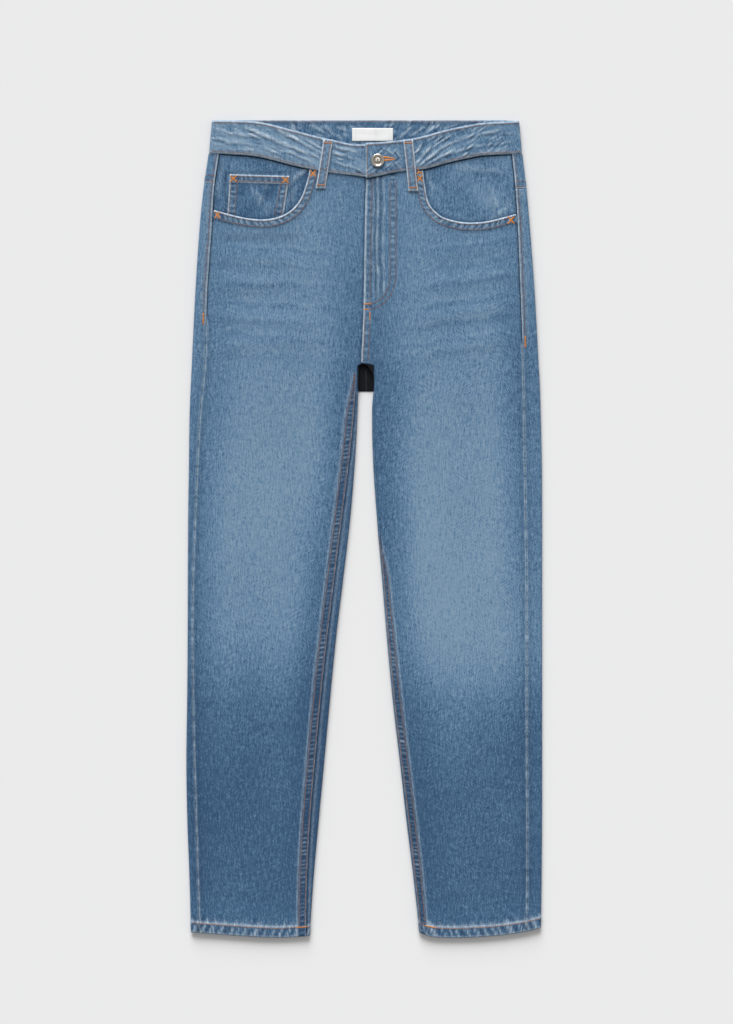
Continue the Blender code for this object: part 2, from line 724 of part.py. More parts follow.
def add_front_loop(side):
    """A belt loop: tacked over the band's top edge, and below the band on the front."""
    x_top, y_top, x_low, y_low = FRONT_LOOPS[side]
    on_band = BAND_HEIGHT_ABOVE_FLOOR + SEAM_GAP
    on_front = front_height(side, abs(x_low), y_low) + SEAM_GAP
    stations = []
    for share, on_cloth, rise in LOOP_ARCH:
        x = x_top + (x_low - x_top) * share
        y = y_top + (y_low - y_top) * share
        base = on_band if on_cloth == "band" else on_front
        stations.append((x, y, base + rise))
    add_strip(f"belt_loop_front_{SIDE_NAMES[side]}", stations, LOOP_WIDTH, LOOP_THICKNESS, FADED)


def add_back_loop(name, x):
    stations = [(x, y, 0.0) for y in (BACK_LOOP_TOP, BACK_LOOP_BOTTOM)]
    add_strip(f"belt_loop_back_{name}", stations, LOOP_WIDTH, BACK_LOOP_THICKNESS, FADED)


def add_label():
    x_from, x_to, y_from, y_to = LABEL
    rows = []
    for y in (y_to, y_from):
        row = []
        for x in (x_from, *LABEL_COLUMNS, x_to):
            z = DOUBLE_CLOTH + back_raise(LEFT, x, y) + SEAM_GAP + LABEL_THICKNESS
            row.append((x, y, z))
        rows.append(row)
    add_wall("label", rows, False, WHITE, thickness=LABEL_THICKNESS)


def add_button():
    """A turned metal button that stands on the lapped end of the waistband."""
    foot = BAND_HEIGHT_ABOVE_FLOOR + OVERLAP_STEP + SEAM_GAP
    bm = bmesh.new()
    rings = []
    for radius, up in BUTTON_PROFILE:
        ring = []
        for n in range(BUTTON_SEGMENTS):
            turn = 2 * math.pi * n / BUTTON_SEGMENTS
            x = radius * math.cos(turn)
            y = radius * math.sin(turn)
            ring.append(bm.verts.new(place((BUTTON[0] + x, BUTTON[1] + y, foot + up))))
        rings.append(ring)
    for lower, upper in zip(rings, rings[1:]):
        for n in range(BUTTON_SEGMENTS):
            m = (n + 1) % BUTTON_SEGMENTS
            bm.faces.new((lower[n], lower[m], upper[m], upper[n]))
    bm.faces.new(rings[0][::-1])
    middle = bm.verts.new(place((*BUTTON, foot + BUTTON_MIDDLE_HEIGHT)))
    for n in range(BUTTON_SEGMENTS):
        m = (n + 1) % BUTTON_SEGMENTS
        bm.faces.new((rings[-1][n], rings[-1][m], middle))
    bmesh.ops.recalc_face_normals(bm, faces=bm.faces)
    button = add_object("button", bm, METAL, METAL_ROUGHNESS, 1.0)
    button.data.shade_smooth()
    button.data.set_sharp_from_angle(angle=math.radians(45))


for old in list(bpy.data.objects):
    bpy.data.objects.remove(old, do_unlink=True)

for side in (RIGHT, LEFT):
    add_front(side)
    add_back(side)
    add_yoke(side)
    add_back_pocket(side)
    add_facing(side)
    add_front_loop(side)
for loop_name, loop_x in BACK_LOOPS.items():
    add_back_loop(loop_name, loop_x)
add_coin_pocket()
add_waistband()
add_label()
add_button()
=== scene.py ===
# %% [markdown]
# # Straight jeans, laid flat
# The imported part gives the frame: every cloth piece below stands where its solid stands, in a finer form.
# Work sheets of cloth are easiest to think of in millimetres, with x measured from the centre line, so
# the tables are in millimetres and one function, `world`, turns them into metres at the very end.

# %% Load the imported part
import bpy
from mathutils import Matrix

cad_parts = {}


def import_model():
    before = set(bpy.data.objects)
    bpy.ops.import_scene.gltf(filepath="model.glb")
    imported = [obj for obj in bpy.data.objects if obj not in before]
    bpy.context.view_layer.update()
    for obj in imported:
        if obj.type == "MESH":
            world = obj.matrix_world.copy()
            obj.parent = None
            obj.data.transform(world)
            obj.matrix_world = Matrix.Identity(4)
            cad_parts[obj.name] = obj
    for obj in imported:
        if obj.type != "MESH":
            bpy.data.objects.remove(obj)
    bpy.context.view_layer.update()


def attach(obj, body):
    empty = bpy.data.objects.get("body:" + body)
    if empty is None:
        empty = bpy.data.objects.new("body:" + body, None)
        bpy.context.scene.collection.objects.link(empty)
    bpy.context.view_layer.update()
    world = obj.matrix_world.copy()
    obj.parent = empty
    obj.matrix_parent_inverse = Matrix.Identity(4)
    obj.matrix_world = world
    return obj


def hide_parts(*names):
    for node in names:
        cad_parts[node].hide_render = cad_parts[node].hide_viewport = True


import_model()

# %% Tools and units
import math

import bpy
import numpy as np
from mathutils import Vector
from mathutils.bvhtree import BVHTree

MM = 0.001
OUTLINE_MIDDLE = 2.2
RIGHT = -1
LEFT = 1
SIDES = {RIGHT: "right", LEFT: "left"}
CLOTH = 1.2
DOUBLE_CLOTH = 2.4
HALF_GAP = 0.15
rng = np.random.default_rng(7)


def world(points):
    """Table millimetres to metres in the part's frame."""
    return (np.asarray(points, float) + (OUTLINE_MIDDLE, 0.0, 0.0)) * MM


# %% [markdown]
# ## Curves and soft steps
# Cloth has no hard corners, so every edge, fade and crease is drawn with three small tools: a soft
# step, a bump with soft sides, and a smooth curve through one column of a table. They all take whole
# numpy arrays, which shapes tens of thousands of points in one go.

# %% Curves and soft steps
def smooth_step(low, high, value):
    """0 at low, 1 at high, with a soft start and end."""
    t = np.clip((value - low) / (high - low), 0.0, 1.0)
    return t * t * (3 - 2 * t)


def bump(value, low, high, ramp):
    """1 from low to high, falling to 0 over ramp on both sides."""
    return smooth_step(low - ramp, low, value) * (1 - smooth_step(high, high + ramp, value))


def line_bump(distance, half_width):
    """A soft line: 1 on it, near 0 beyond its half width."""
    return np.exp(-((distance / half_width) ** 2))


def along(table, key, column):
    """A smooth curve through one column of a table whose first column rises or falls."""
    rows = np.array(sorted(table), float)
    keys, values = rows[:, 0], rows[:, column]
    key = np.clip(key, keys[0], keys[-1])
    i = np.clip(np.searchsorted(keys, key, side="right") - 1, 0, len(keys) - 2)
    before = np.maximum(np.arange(len(keys)) - 1, 0)
    after = np.minimum(np.arange(len(keys)) + 1, len(keys) - 1)
    slopes = (values[after] - values[before]) / (keys[after] - keys[before])
    span = keys[i + 1] - keys[i]
    t = (key - keys[i]) / span
    start = values[i] * (1 + 2 * t) * (1 - t) ** 2 + span * slopes[i] * t * (1 - t) ** 2
    return start + values[i + 1] * t * t * (3 - 2 * t) + span * slopes[i + 1] * t * t * (t - 1)


def wander(value, pitch, seed):
    """A slow uneven wave between about -1 and 1 along one direction."""
    draw = np.random.default_rng(seed)
    total = 0.0
    for stretch in (1.0, 0.61, 0.37):
        total = total + stretch * np.sin(2 * np.pi * (value / (pitch * stretch) + draw.random()))
    return total / 1.6


def rolling(x, y, pitch, seed, stretch_y=1.0):
    """Soft hills and hollows between about -1 and 1 over a surface."""
    draw = np.random.default_rng(seed)
    total = 0.0
    for n in range(7):
        turn = draw.random() * np.pi
        length = pitch * (0.6 + 0.9 * draw.random())
        wave = (x * np.cos(turn) + y / stretch_y * np.sin(turn)) / length
        total = total + np.sin(2 * np.pi * (wave + draw.random()))
    return total / 3.2


def puckers(distance, pitch, seed):
    """The uneven ripple that a seam's stitches pull into cloth, from -1 to 1."""
    shift = 0.28 * wander(distance, pitch * 4.7, seed)
    size = 0.7 + 0.3 * wander(distance, pitch * 3.1, seed + 1)
    return size * np.sin(2 * np.pi * (distance / pitch + shift))


print("tools ready")

# %% [markdown]
# ## The cut of the legs
# These are the part's own tables: where the folds and the seams of each leg run, how thick the laid
# leg is, and how the hem's edge curves. Two legs laid flat never match exactly, so each has its own.

# %% Leg tables
RIGHT_LEG = (
    (462, 8.6, 11.8, 179.2, 192.2),
    (415, 8.6, 11.8, 185.8, 198.9),
    (366, 8.6, 11.8, 188.7, 203.8),
    (292, 8.6, 11.8, 194.0, 208.7),
    (200, 8.6, 11.8, 197.0, 213.2),
    (146, 10.2, 14.0, 202.4, 215.6),
    (84, 13.5, 20.3, 206.1, 216.6),
    (11, 19.6, 29.4, 209.1, 217.6),
    (-62, 28.1, 38.5, 211.7, 218.0),
    (-136, 37.0, 47.4, 212.6, 218.2),
    (-209, 44.1, 55.2, 211.4, 218.8),
    (-283, 51.0, 61.9, 210.0, 219.8),
    (-356, 57.8, 68.0, 207.8, 218.6),
    (-430, 64.4, 71.9, 205.6, 215.8),
    (-500, 68.8, 73.0, 203.5, 214.2),
)
LEFT_LEG = (
    (462, 2.4, 9.0, 178.0, 190.9),
    (415, 2.4, 9.0, 182.8, 196.4),
    (366, 2.4, 9.0, 185.8, 200.7),
    (292, 2.4, 9.0, 188.9, 206.2),
    (200, 2.4, 9.0, 192.2, 211.3),
    (186, 9.4, 12.6, 192.5, 212.2),
    (146, 7.4, 10.6, 193.2, 213.6),
    (84, 8.6, 11.8, 194.3, 215.0),
    (11, 13.5, 16.7, 195.5, 215.4),
    (-62, 19.6, 22.8, 196.5, 215.4),
    (-136, 25.7, 30.4, 196.8, 215.4),
    (-209, 32.6, 38.0, 196.7, 215.4),
    (-283, 41.2, 47.0, 196.9, 215.4),
    (-356, 49.4, 55.8, 197.6, 215.4),
    (-430, 58.4, 64.0, 197.5, 214.8),
    (-500, 65.0, 69.4, 196.7, 214.0),
)
LEGS = {RIGHT: RIGHT_LEG, LEFT: LEFT_LEG}
INNER_FOLD, INSEAM, OUTSEAM, OUTER_FOLD = 1, 2, 3, 4
HEIGHTS = (
    (462, 6.1, 5.8), (366, 6.0, 5.8), (292, 5.8, 5.4), (200, 5.2, 4.8), (84, 4.4, 3.8),
    (-356, 4.4, 3.7), (-455, 4.7, 4.2), (-484, 5.5, 5.4), (-500, 5.5, 5.4),
)
FOLD_SWELL = 12.0
CROTCH_SWELL_START, CROTCH_SWELL_FULL = 230, 168
HEM_EDGES = {
    RIGHT: ((66, -497.6), (109, -499.8), (165, -496.8), (216, -493.0)),
    LEFT: ((64, -493.0), (80, -498.6), (112, -500.0), (159, -497.4), (195, -492.4), (216, -487.0)),
}
HEM_LEVEL, HEM_TOP, HEM_BEND_START = -500, -487.5, -430
CROTCH_TOP, WEB_END, NOTCH = 204, 168, 1.0
CENTRE_FRONT = ((440, 0.8), (400, -0.8), (268, -3.2), (200, -6.2))
FLY_WIDTH = ((440, 30), (320, 30), (290, 24), (268, 14), (200, 13))
UNDERLAP = ((440, 26), (320, 26), (290, 18), (268, 6), (200, 5))
FLY_RAMP, LAP_STEP = 12, 1.55
LAP_WAIST_GAP, LAP_WAIST_GAP_FROM, LAP_WAIST_GAP_TO = 0.8, 18, 34


def leg_edge(side, y, column):
    return along(LEGS[side], y, column)


def centre_front(side, y):
    return side * along(CENTRE_FRONT, y, 1)


def fold_height(y):
    return along(HEIGHTS, y, 1)


def hem_bend(side, out, y):
    """y moved so that the lowest row follows the hem's edge."""
    share = 1 - smooth_step(HEM_TOP, HEM_BEND_START, y)
    return y + share * (along(HEM_EDGES[side], out, 1) - HEM_LEVEL)


# %% [markdown]
# ## The waistband, pockets and loops
# The waistband dips at the centre front, its left end lapping over its right end. The pocket mouths
# scoop from the band to the outseam, and the back has its yokes, patch pockets and three more loops.

# %% Tables of the waist and the pockets
FRONT_BAND = {
    RIGHT: (
        (-27, 471.8, 437.4), (-12, 471.0, 433.6), (-0.7, 470.6, 430.6), (17, 470.8, 432.4),
        (38, 475.4, 434.8), (52, 478.2, 436.8), (87, 487.2, 444.0), (122, 496.2, 453.0),
        (143, 499.0, 456.6), (192, 500.0, 459.3),
    ),
    LEFT: (
        (-0.7, 472.2, 428.6), (15, 472.8, 431.4), (30, 474.0, 434.8), (44, 475.6, 437.2),
        (60, 478.2, 438.9), (73, 481.2, 440.2), (98, 488.2, 447.2), (125, 493.8, 453.4),
        (143, 496.7, 456.6), (192, 499.2, 458.8),
    ),
}
BAND_TOP, BAND_BOTTOM = 1, 2
BACK_BAND_TOP, BACK_BAND_BOTTOM = 500.0, 461.5
BAND_HEIGHT = 6.4
BAND_FOLD_OUT = {RIGHT: (188.5, 192.0), LEFT: (187.3, 190.8)}
OVERLAP_STEP, OVERLAP_FULL, OVERLAP_END = 2.7, 30, 44
LOOP_WIDTH, LOOP_THICKNESS, BACK_LOOP_THICKNESS = 12, 2.0, 1.0
LOOP_ARCH = ((0.0, 0.0), (0.12, 0.5), (0.35, 0.9), (0.6, 0.6), (0.8, 0.1), (1.0, 0.0))
FRONT_LOOPS = {RIGHT: (-46.2, 476.0, -55.5, 416.2), LEFT: (51.4, 476.0, 58.0, 412.8)}
BACK_LOOPS = {"right": -100, "centre": 0, "left": 100}
BACK_LOOP_TOP, BACK_LOOP_BOTTOM = 499.0, 438.0
BACK_LOOP_RAISE, LOOP_CLEAR, LOOP_RAMP = 1.3, 2, 8
YOKE_SIDE = {RIGHT: 422.8, LEFT: 416.0}
YOKE_CENTRE = 388.0
BACK_POCKET = ((36, 350), (172, 362), (161, 238), (104, 208), (46, 226))
BACK_POCKET_THICKNESS, BACK_POCKET_RAISE = 1.1, 1.4
POCKET_RAISE_OUT, POCKET_RAISE_Y, POCKET_RAMP = (28, 180), (200, 370), 12
POCKET_MOUTHS = {
    RIGHT: ((69.6, 446), (70.2, 434), (74.7, 417.8), (80.2, 404), (90, 391.4), (104, 382.9),
            (122.4, 378.8), (143.2, 379.9), (164.4, 384.3), (192, 392.0)),
    LEFT: ((69.4, 446), (70.4, 434), (72.8, 417), (77.1, 398.6), (86.9, 386.5), (98.4, 379.9),
           (119.7, 375.2), (144.4, 375.9), (168.9, 381.4), (192, 388.0)),
}
FACING_INNER, FACING_BOTTOM = 57, 365
FACING_HEIGHT, FACING_AT_SEAM, FACING_SLOPE = 4.1, 1.7, 7.0
FACING_RISE = (392, 412)
FACING_GAP, FACING_WAIST_GAP = 0.5, 1.4
COIN_OUTER, COIN_INNER = (166.6, 170.2), (93.5, 102.2)
COIN_TOP, COIN_BOTTOM = (434.0, 431.9), 371.0
COIN_RAISE, COIN_RAISE_OUT, COIN_RAISE_Y, COIN_RAMP = 1.35, (90, 174), (350, 364), 12
CREASES = {
    RIGHT: ((188, 338, 60, 326, 0.7), (190, 296, 70, 306, 0.8), (192, 262, 40, 250, 0.8),
            (194, 222, 50, 234, 0.6)),
    LEFT: ((182, 352, 60, 330, 0.6), (186, 316, 60, 294, 0.8), (188, 276, 40, 252, 0.8),
           (190, 236, 60, 214, 0.6)),
}
CREASE_HALF_WIDTH = 10.0
LABEL = (-17.0, 33.0, 474.3, 490.4)
LABEL_THICKNESS = 0.6
BUTTON = (14.3, 450.4)


def waist_line(side, out):
    """y of the seam between the waistband and the front."""
    return along(FRONT_BAND[side], out, BAND_BOTTOM)


def back_raise(side, out, y):
    """How far the back lies above the floor, over its pocket and its belt loops."""
    pocket = bump(out, *POCKET_RAISE_OUT, POCKET_RAMP) * bump(y, *POCKET_RAISE_Y, POCKET_RAMP)
    low_end = BACK_LOOP_BOTTOM - LOOP_CLEAR
    half = LOOP_WIDTH / 2 + LOOP_CLEAR
    loops = 0.0
    for middle in BACK_LOOPS.values():
        across = bump(side * out, middle - half, middle + half, LOOP_RAMP)
        loops = np.maximum(loops, across * smooth_step(low_end - LOOP_RAMP, low_end, y))
    return BACK_POCKET_RAISE * pocket + BACK_LOOP_RAISE * loops


def crease(x, y, x_a, y_a, x_b, y_b, half_width, trough=0.0):
    """A soft ridge from a to b, 1 high, with a trough beside it where one is asked for."""
    length = math.hypot(x_b - x_a, y_b - y_a)
    ahead_x, ahead_y = (x_b - x_a) / length, (y_b - y_a) / length
    forward = ((x - x_a) * ahead_x + (y - y_a) * ahead_y) / length
    across = (x - x_a) * ahead_y - (y - y_a) * ahead_x
    ridge = line_bump(across, half_width)
    if trough:
        ridge = ridge - trough * line_bump(across - 1.7 * half_width, half_width)
    return bump(forward, 0.2, 0.7, 0.3) * ridge


def front_height(side, out, y):
    """Height of the front's outer face, without the fly's lap."""
    between = along(HEIGHTS, y, 2)
    swell = np.exp(-np.maximum(leg_edge(side, y, OUTSEAM) - out, 0) / FOLD_SWELL)
    inner = np.exp(-np.maximum(out - leg_edge(side, y, INSEAM), 0) / FOLD_SWELL)
    swell = swell + inner * (1 - smooth_step(CROTCH_SWELL_FULL, CROTCH_SWELL_START, y))
    height = between + (fold_height(y) - between) * np.minimum(swell, 1.0)
    if side == RIGHT:
        over_coin = bump(out, *COIN_RAISE_OUT, COIN_RAMP) * smooth_step(*COIN_RAISE_Y, y)
        height = height + COIN_RAISE * over_coin
    for x_a, y_a, x_b, y_b, rise in CREASES[side]:
        height = height + rise * crease(out, y, x_a, y_a, x_b, y_b, CREASE_HALF_WIDTH)
    return height


def lap_height(y, out):
    """How far the left front rises over the right one's lap and the fly."""
    reach = centre_front(LEFT, y) + along(FLY_WIDTH, y, 1)
    return LAP_STEP * (1 - smooth_step(reach, reach + FLY_RAMP, out))


def facing_height(side, out, y):
    """Height of the pocket facing's outer face: high at the outseam, low in the mouth."""
    rise = np.exp(-np.maximum(leg_edge(side, y, OUTSEAM) - out, 0) / FACING_SLOPE)
    return FACING_HEIGHT + FACING_AT_SEAM * rise * smooth_step(*FACING_RISE, y)


# %% [markdown]
# ## A wall of cloth
# Each cut piece is a closed wall: an outer face that carries the relief of seams and creases, an inner
# face one cloth thickness behind it, and a rim round every edge. Building both faces from one grid of
# points keeps the wall closed even where a pocket mouth or the crotch is cut out. Three numbers per
# point go along with it for the finish, on both faces: how faded, how worn, and how dark. The dark
# number is partly unworn dye and partly painted shade, in hollows, beside raised edges and seams,
# under the waistband and in the crotch slot.

# %% A closed wall from a grid of points
BODY = "root"


def grid_normals(grid, facing):
    across = np.gradient(grid, axis=1)
    down = np.gradient(grid, axis=0)
    normals = facing * np.cross(across, down)
    size = np.linalg.norm(normals, axis=2, keepdims=True)
    return normals / np.maximum(size, 1e-9)


def boundary_edges(quads):
    """Directed edges that only one quad has."""
    edges = np.concatenate([quads[:, [n, (n + 1) % 4]] for n in range(4)])
    key = np.sort(edges, axis=1)
    _, first, count = np.unique(key, axis=0, return_index=True, return_counts=True)
    return edges[first[count == 1]]


def mesh_object(name, points, faces):
    """A smooth mesh from points in metres."""
    mesh = bpy.data.meshes.new(name)
    mesh.from_pydata(points, [], faces)
    mesh.validate()
    mesh.shade_smooth()
    made = bpy.data.objects.new(name, mesh)
    bpy.context.scene.collection.objects.link(made)
    return made


def set_numbers(piece, name, values):
    piece.data.attributes.new(name, "FLOAT", "POINT").data.foreach_set("value", values.ravel())


def set_vectors(piece, name, values):
    piece.data.attributes.new(name, "FLOAT_VECTOR", "POINT").data.foreach_set("vector", values.ravel())


def cloth_wall(name, base, facing, lift, thickness, looks, keep=None, flat_xy=None):
    """base is rows x columns x 3 in millimetres; lift moves the outer face outward."""
    rows, columns = base.shape[:2]
    normals = grid_normals(base, facing)
    outer = base + normals * lift[..., None]
    inner = base - normals * (np.zeros((rows, columns)) + thickness)[..., None]
    index = np.arange(rows * columns).reshape(rows, columns)
    a, b, c, d = index[:-1, :-1], index[:-1, 1:], index[1:, 1:], index[1:, :-1]
    corners = (a, b, c, d) if facing > 0 else (a, d, c, b)
    quads = np.stack(corners, axis=-1)
    quads = quads[keep] if keep is not None else quads.reshape(-1, 4)
    rim = boundary_edges(quads)
    count = rows * columns
    sides = np.stack([rim[:, 1], rim[:, 0], rim[:, 0] + count, rim[:, 1] + count], axis=1)
    faces = np.concatenate([quads, quads[:, ::-1] + count, sides])
    points = np.concatenate([outer.reshape(-1, 3), inner.reshape(-1, 3)])
    used = np.unique(faces)
    renumber = np.full(len(points), -1)
    renumber[used] = np.arange(len(used))
    made = mesh_object(name, world(points[used]).tolist(), renumber[faces].tolist())
    flat_xy = base[..., :2] if flat_xy is None else flat_xy
    cloth = np.concatenate([flat_xy, np.zeros((rows, columns, 1))], axis=2).reshape(-1, 3)
    set_vectors(made, "cloth", np.concatenate([cloth, cloth + (31.0, 17.0, 0.0)])[used])
    # The third number darkens the cloth: partly unworn dye, partly painted shade.
    for key in ("fade", "worn", "shade_and_unworn_dye"):
        values = (np.zeros((rows, columns)) + looks[key]).ravel()
        behind = (np.zeros((rows, columns)) + looks.get(key + "_inside", looks[key])).ravel()
        set_numbers(made, key, np.concatenate([values, behind])[used])
    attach(made, BODY)
    made["cut"] = cut_size(base, keep)
    print(name, len(made.data.polygons), "faces, cut in mm:", [round(v) for v in made["cut"]])
    return made


def cut_size(base, keep=None):
    """Width, length and area of the flat cut, in millimetres."""
    width = np.linalg.norm(np.diff(base, axis=1), axis=2)
    length = np.linalg.norm(np.diff(base, axis=0), axis=2)
    ab, ad = base[:-1, 1:] - base[:-1, :-1], base[1:, :-1] - base[:-1, :-1]
    cb, cd = base[:-1, 1:] - base[1:, 1:], base[1:, :-1] - base[1:, 1:]
    area = (np.linalg.norm(np.cross(ab, ad), axis=2) + np.linalg.norm(np.cross(cb, cd), axis=2)) / 2
    if keep is not None:
        area = area * keep
    return [float(width.sum(axis=1).max()), float(length.sum(axis=0).max()), float(area.sum())]


# %% [markdown]
# ## How the wash fades
# Stone-washed denim is lightest on the thighs down to the knees, where the cloth rubs, and keeps its
# indigo on the shins, along the leg sides and near the seams. Whiskers cross the hips where it creased
# in wear. Everything here only fills the per-point numbers; the dye itself is in the material.

# %% Fades of the legs
# y, fade in the middle of the right leg, of the left leg, how much the sides lose
FADES = (
    (500, 0.62, 0.58, 0.12), (400, 0.64, 0.60, 0.14), (300, 0.66, 0.64, 0.20), (200, 0.70, 0.68, 0.32),
    (110, 0.80, 0.80, 0.42), (0, 0.81, 0.86, 0.46), (-80, 0.75, 0.90, 0.44), (-130, 0.66, 0.87, 0.38),
    (-170, 0.50, 0.72, 0.30), (-215, 0.28, 0.44, 0.20), (-270, 0.18, 0.27, 0.14), (-340, 0.12, 0.19, 0.10),
    (-430, 0.14, 0.18, 0.08), (-500, 0.24, 0.24, 0.06),
)
FADE_COLUMN = {RIGHT: 1, LEFT: 2}
# Whiskers: distance out and y of each end, half width, depth
WHISKERS = {
    RIGHT: (
        (176, 343, 30, 338, 4.0, 0.13), (178, 322, 34, 320, 3.6, 0.10), (182, 300, 26, 296, 4.6, 0.16),
        (184, 276, 22, 268, 4.2, 0.13), (186, 256, 30, 249, 3.6, 0.10), (188, 240, 26, 226, 4.8, 0.14),
        (120, 331, 14, 330, 3.0, 0.08), (160, 212, 40, 206, 6.0, 0.08),
    ),
    LEFT: (
        (180, 352, 46, 336, 4.0, 0.12), (182, 330, 52, 314, 3.6, 0.11), (184, 310, 44, 292, 4.4, 0.14),
        (186, 286, 36, 266, 4.4, 0.15), (186, 262, 24, 240, 4.6, 0.16), (186, 240, 22, 220, 4.2, 0.12),
        (150, 222, 30, 204, 6.0, 0.08),
    ),
}


def wash(side, out, y):
    """Fade over a leg, without its seams."""
    middle = along(FADES, y, FADE_COLUMN[side])
    loss = along(FADES, y, 3)
    inseam = np.where(y > CROTCH_TOP, 0.0, leg_edge(side, y, INSEAM))
    share = (out - inseam) / (leg_edge(side, y, OUTSEAM) - inseam)
    sides = smooth_step(0.20, 0.52, np.abs(share - 0.52)) * (1.0 + 0.35 * (share < 0.52))
    fade = middle - loss * sides
    for x_a, y_a, x_b, y_b, half_width, depth in WHISKERS[side]:
        dark = crease(out, y + 2.2 * wander(out, 60, 3), x_a, y_a, x_b, y_b, 0.7 * half_width, 0.6)
        fade = fade - depth * dark
    return fade + 0.035 * rolling(side * out, y, 95, 11, 2.2)


print("wash at the left knee:", round(float(wash(LEFT, 110.0, -100.0)), 2))

# %% [markdown]
# ## The fronts
# A front runs from the outseam to the inseam or the fly. Its grid has close columns near the seams,
# where the stitching puckers it, and wide ones between. The hem is turned twice and ropes between its
# stitches, and the left front carries the fly. The pocket mouth is left out of the grid, and both the
# mouth and the felled inseam are finished by their own strips further down.

# %% Relief and looks of the fronts
# Where the felled strip lies across the inseam, from and to, and its ripple
FELL_FROM_TO = {RIGHT: (0.4, 10.2), LEFT: (-4.2, 5.0)}
FELL_PITCH = 5.4
ROPE_PITCH = 10.4
FELL_START = {RIGHT: 196, LEFT: -2}
SIDE_TACK = {RIGHT: 257, LEFT: 229}
RIDGE_PITCH = 21.0
FLY_FOLD_X = 14.0
FLY_ROWS = (29.4, 36.7)
FLY_TURN_Y = 305


def front_inner_edge(side, y):
    """Distance out of a front's inner edge: its lap, the slot or the inseam."""
    lap = centre_front(side, y)
    if side == RIGHT:
        lap = lap - along(UNDERLAP, y, 1)
    slot = leg_edge(side, y, INNER_FOLD)
    seam = leg_edge(side, y, INSEAM) + HALF_GAP
    return np.where(y >= CROTCH_TOP, lap, np.where(y >= WEB_END, slot, seam))


def fell_window(side, y):
    return 1 - smooth_step(FELL_START[side] - 10, FELL_START[side], y)


def fell_slide(side, y):
    """How far the strip still lies behind the leg's edge where it comes round from the back."""
    return 7.0 * smooth_step(FELL_START[side] - 62, FELL_START[side] - 2, y)


def inseam_edge(side, out, y):
    """The front beside its felled inseam: a pale halo where the strip's edge rubs, then shade."""
    inside = out - leg_edge(side, y, INSEAM) - FELL_FROM_TO[side][1] + fell_slide(side, y)
    shown = fell_window(side, y)
    worn = 0.26 * line_bump(inside - 1.4, 1.3) * shown
    shade_and_unworn_dye = 0.34 * line_bump(inside - 0.2, 0.9) * shown
    return 0.0, worn, shade_and_unworn_dye


def hem_strip(side, out, y):
    """The turned hem, which ropes between its edge and its stitches."""
    up = y - HEM_LEVEL
    band = 1 - smooth_step(12.5, 14.5, up)
    ripple = puckers(out + 0.45 * up, ROPE_PITCH, 41 + side)
    fine = puckers(out - 0.3 * up, 0.43 * ROPE_PITCH, 43 + side)
    between = bump(up, 2.0, 9.4, 1.6)
    above = bump(up, 13.6, 16.0, 5.0)
    lift = 0.35 * band + between * (0.36 * ripple + 0.12 * fine) + 0.18 * above * ripple
    pale = np.maximum(0.75 * ripple + 0.45 * fine, 0)
    worn = 0.34 * line_bump(up - 0.6, 1.3) + 0.52 * between * pale
    worn = worn + 0.42 * line_bump(up - 13.4, 1.2) + 0.36 * above * pale
    # Dark in the hollows between the ropes, partly unworn dye and partly painted shade, and a painted shade
    # line above the hem.
    shade_and_unworn_dye = 0.74 * between * np.maximum(-0.8 * ripple - 0.35 * fine, 0)
    shade_and_unworn_dye = shade_and_unworn_dye + 0.22 * line_bump(up - 15.6, 1.2) * np.maximum(-fine, 0)
    return lift, worn, shade_and_unworn_dye


def outseam_edge(side, out, y):
    """The front's side of the outseam: tucked under above the tack, pressed open below."""
    inside = leg_edge(side, y, OUTSEAM) - out
    upper = smooth_step(SIDE_TACK[side] - 6, SIDE_TACK[side] + 6, y)
    ridge = line_bump(inside, 2.2) * (1 - upper)
    lift = 0.42 * ridge - 0.5 * line_bump(inside, 1.6) * upper
    wear = 0.55 + 0.30 * wander(y, RIDGE_PITCH, 51 + side)
    worn = 0.66 * line_bump(inside - 0.3, 1.15) * (1 - upper) * wear
    # Painted shade in the tucked seam's groove above the tack, and a faint line beside the pressed-open seam
    # below.
    shade_and_unworn_dye = 0.85 * line_bump(inside, 1.9) * upper + 0.22 * line_bump(inside - 4.6, 2.4) * (1 - upper)
    return lift, worn, shade_and_unworn_dye


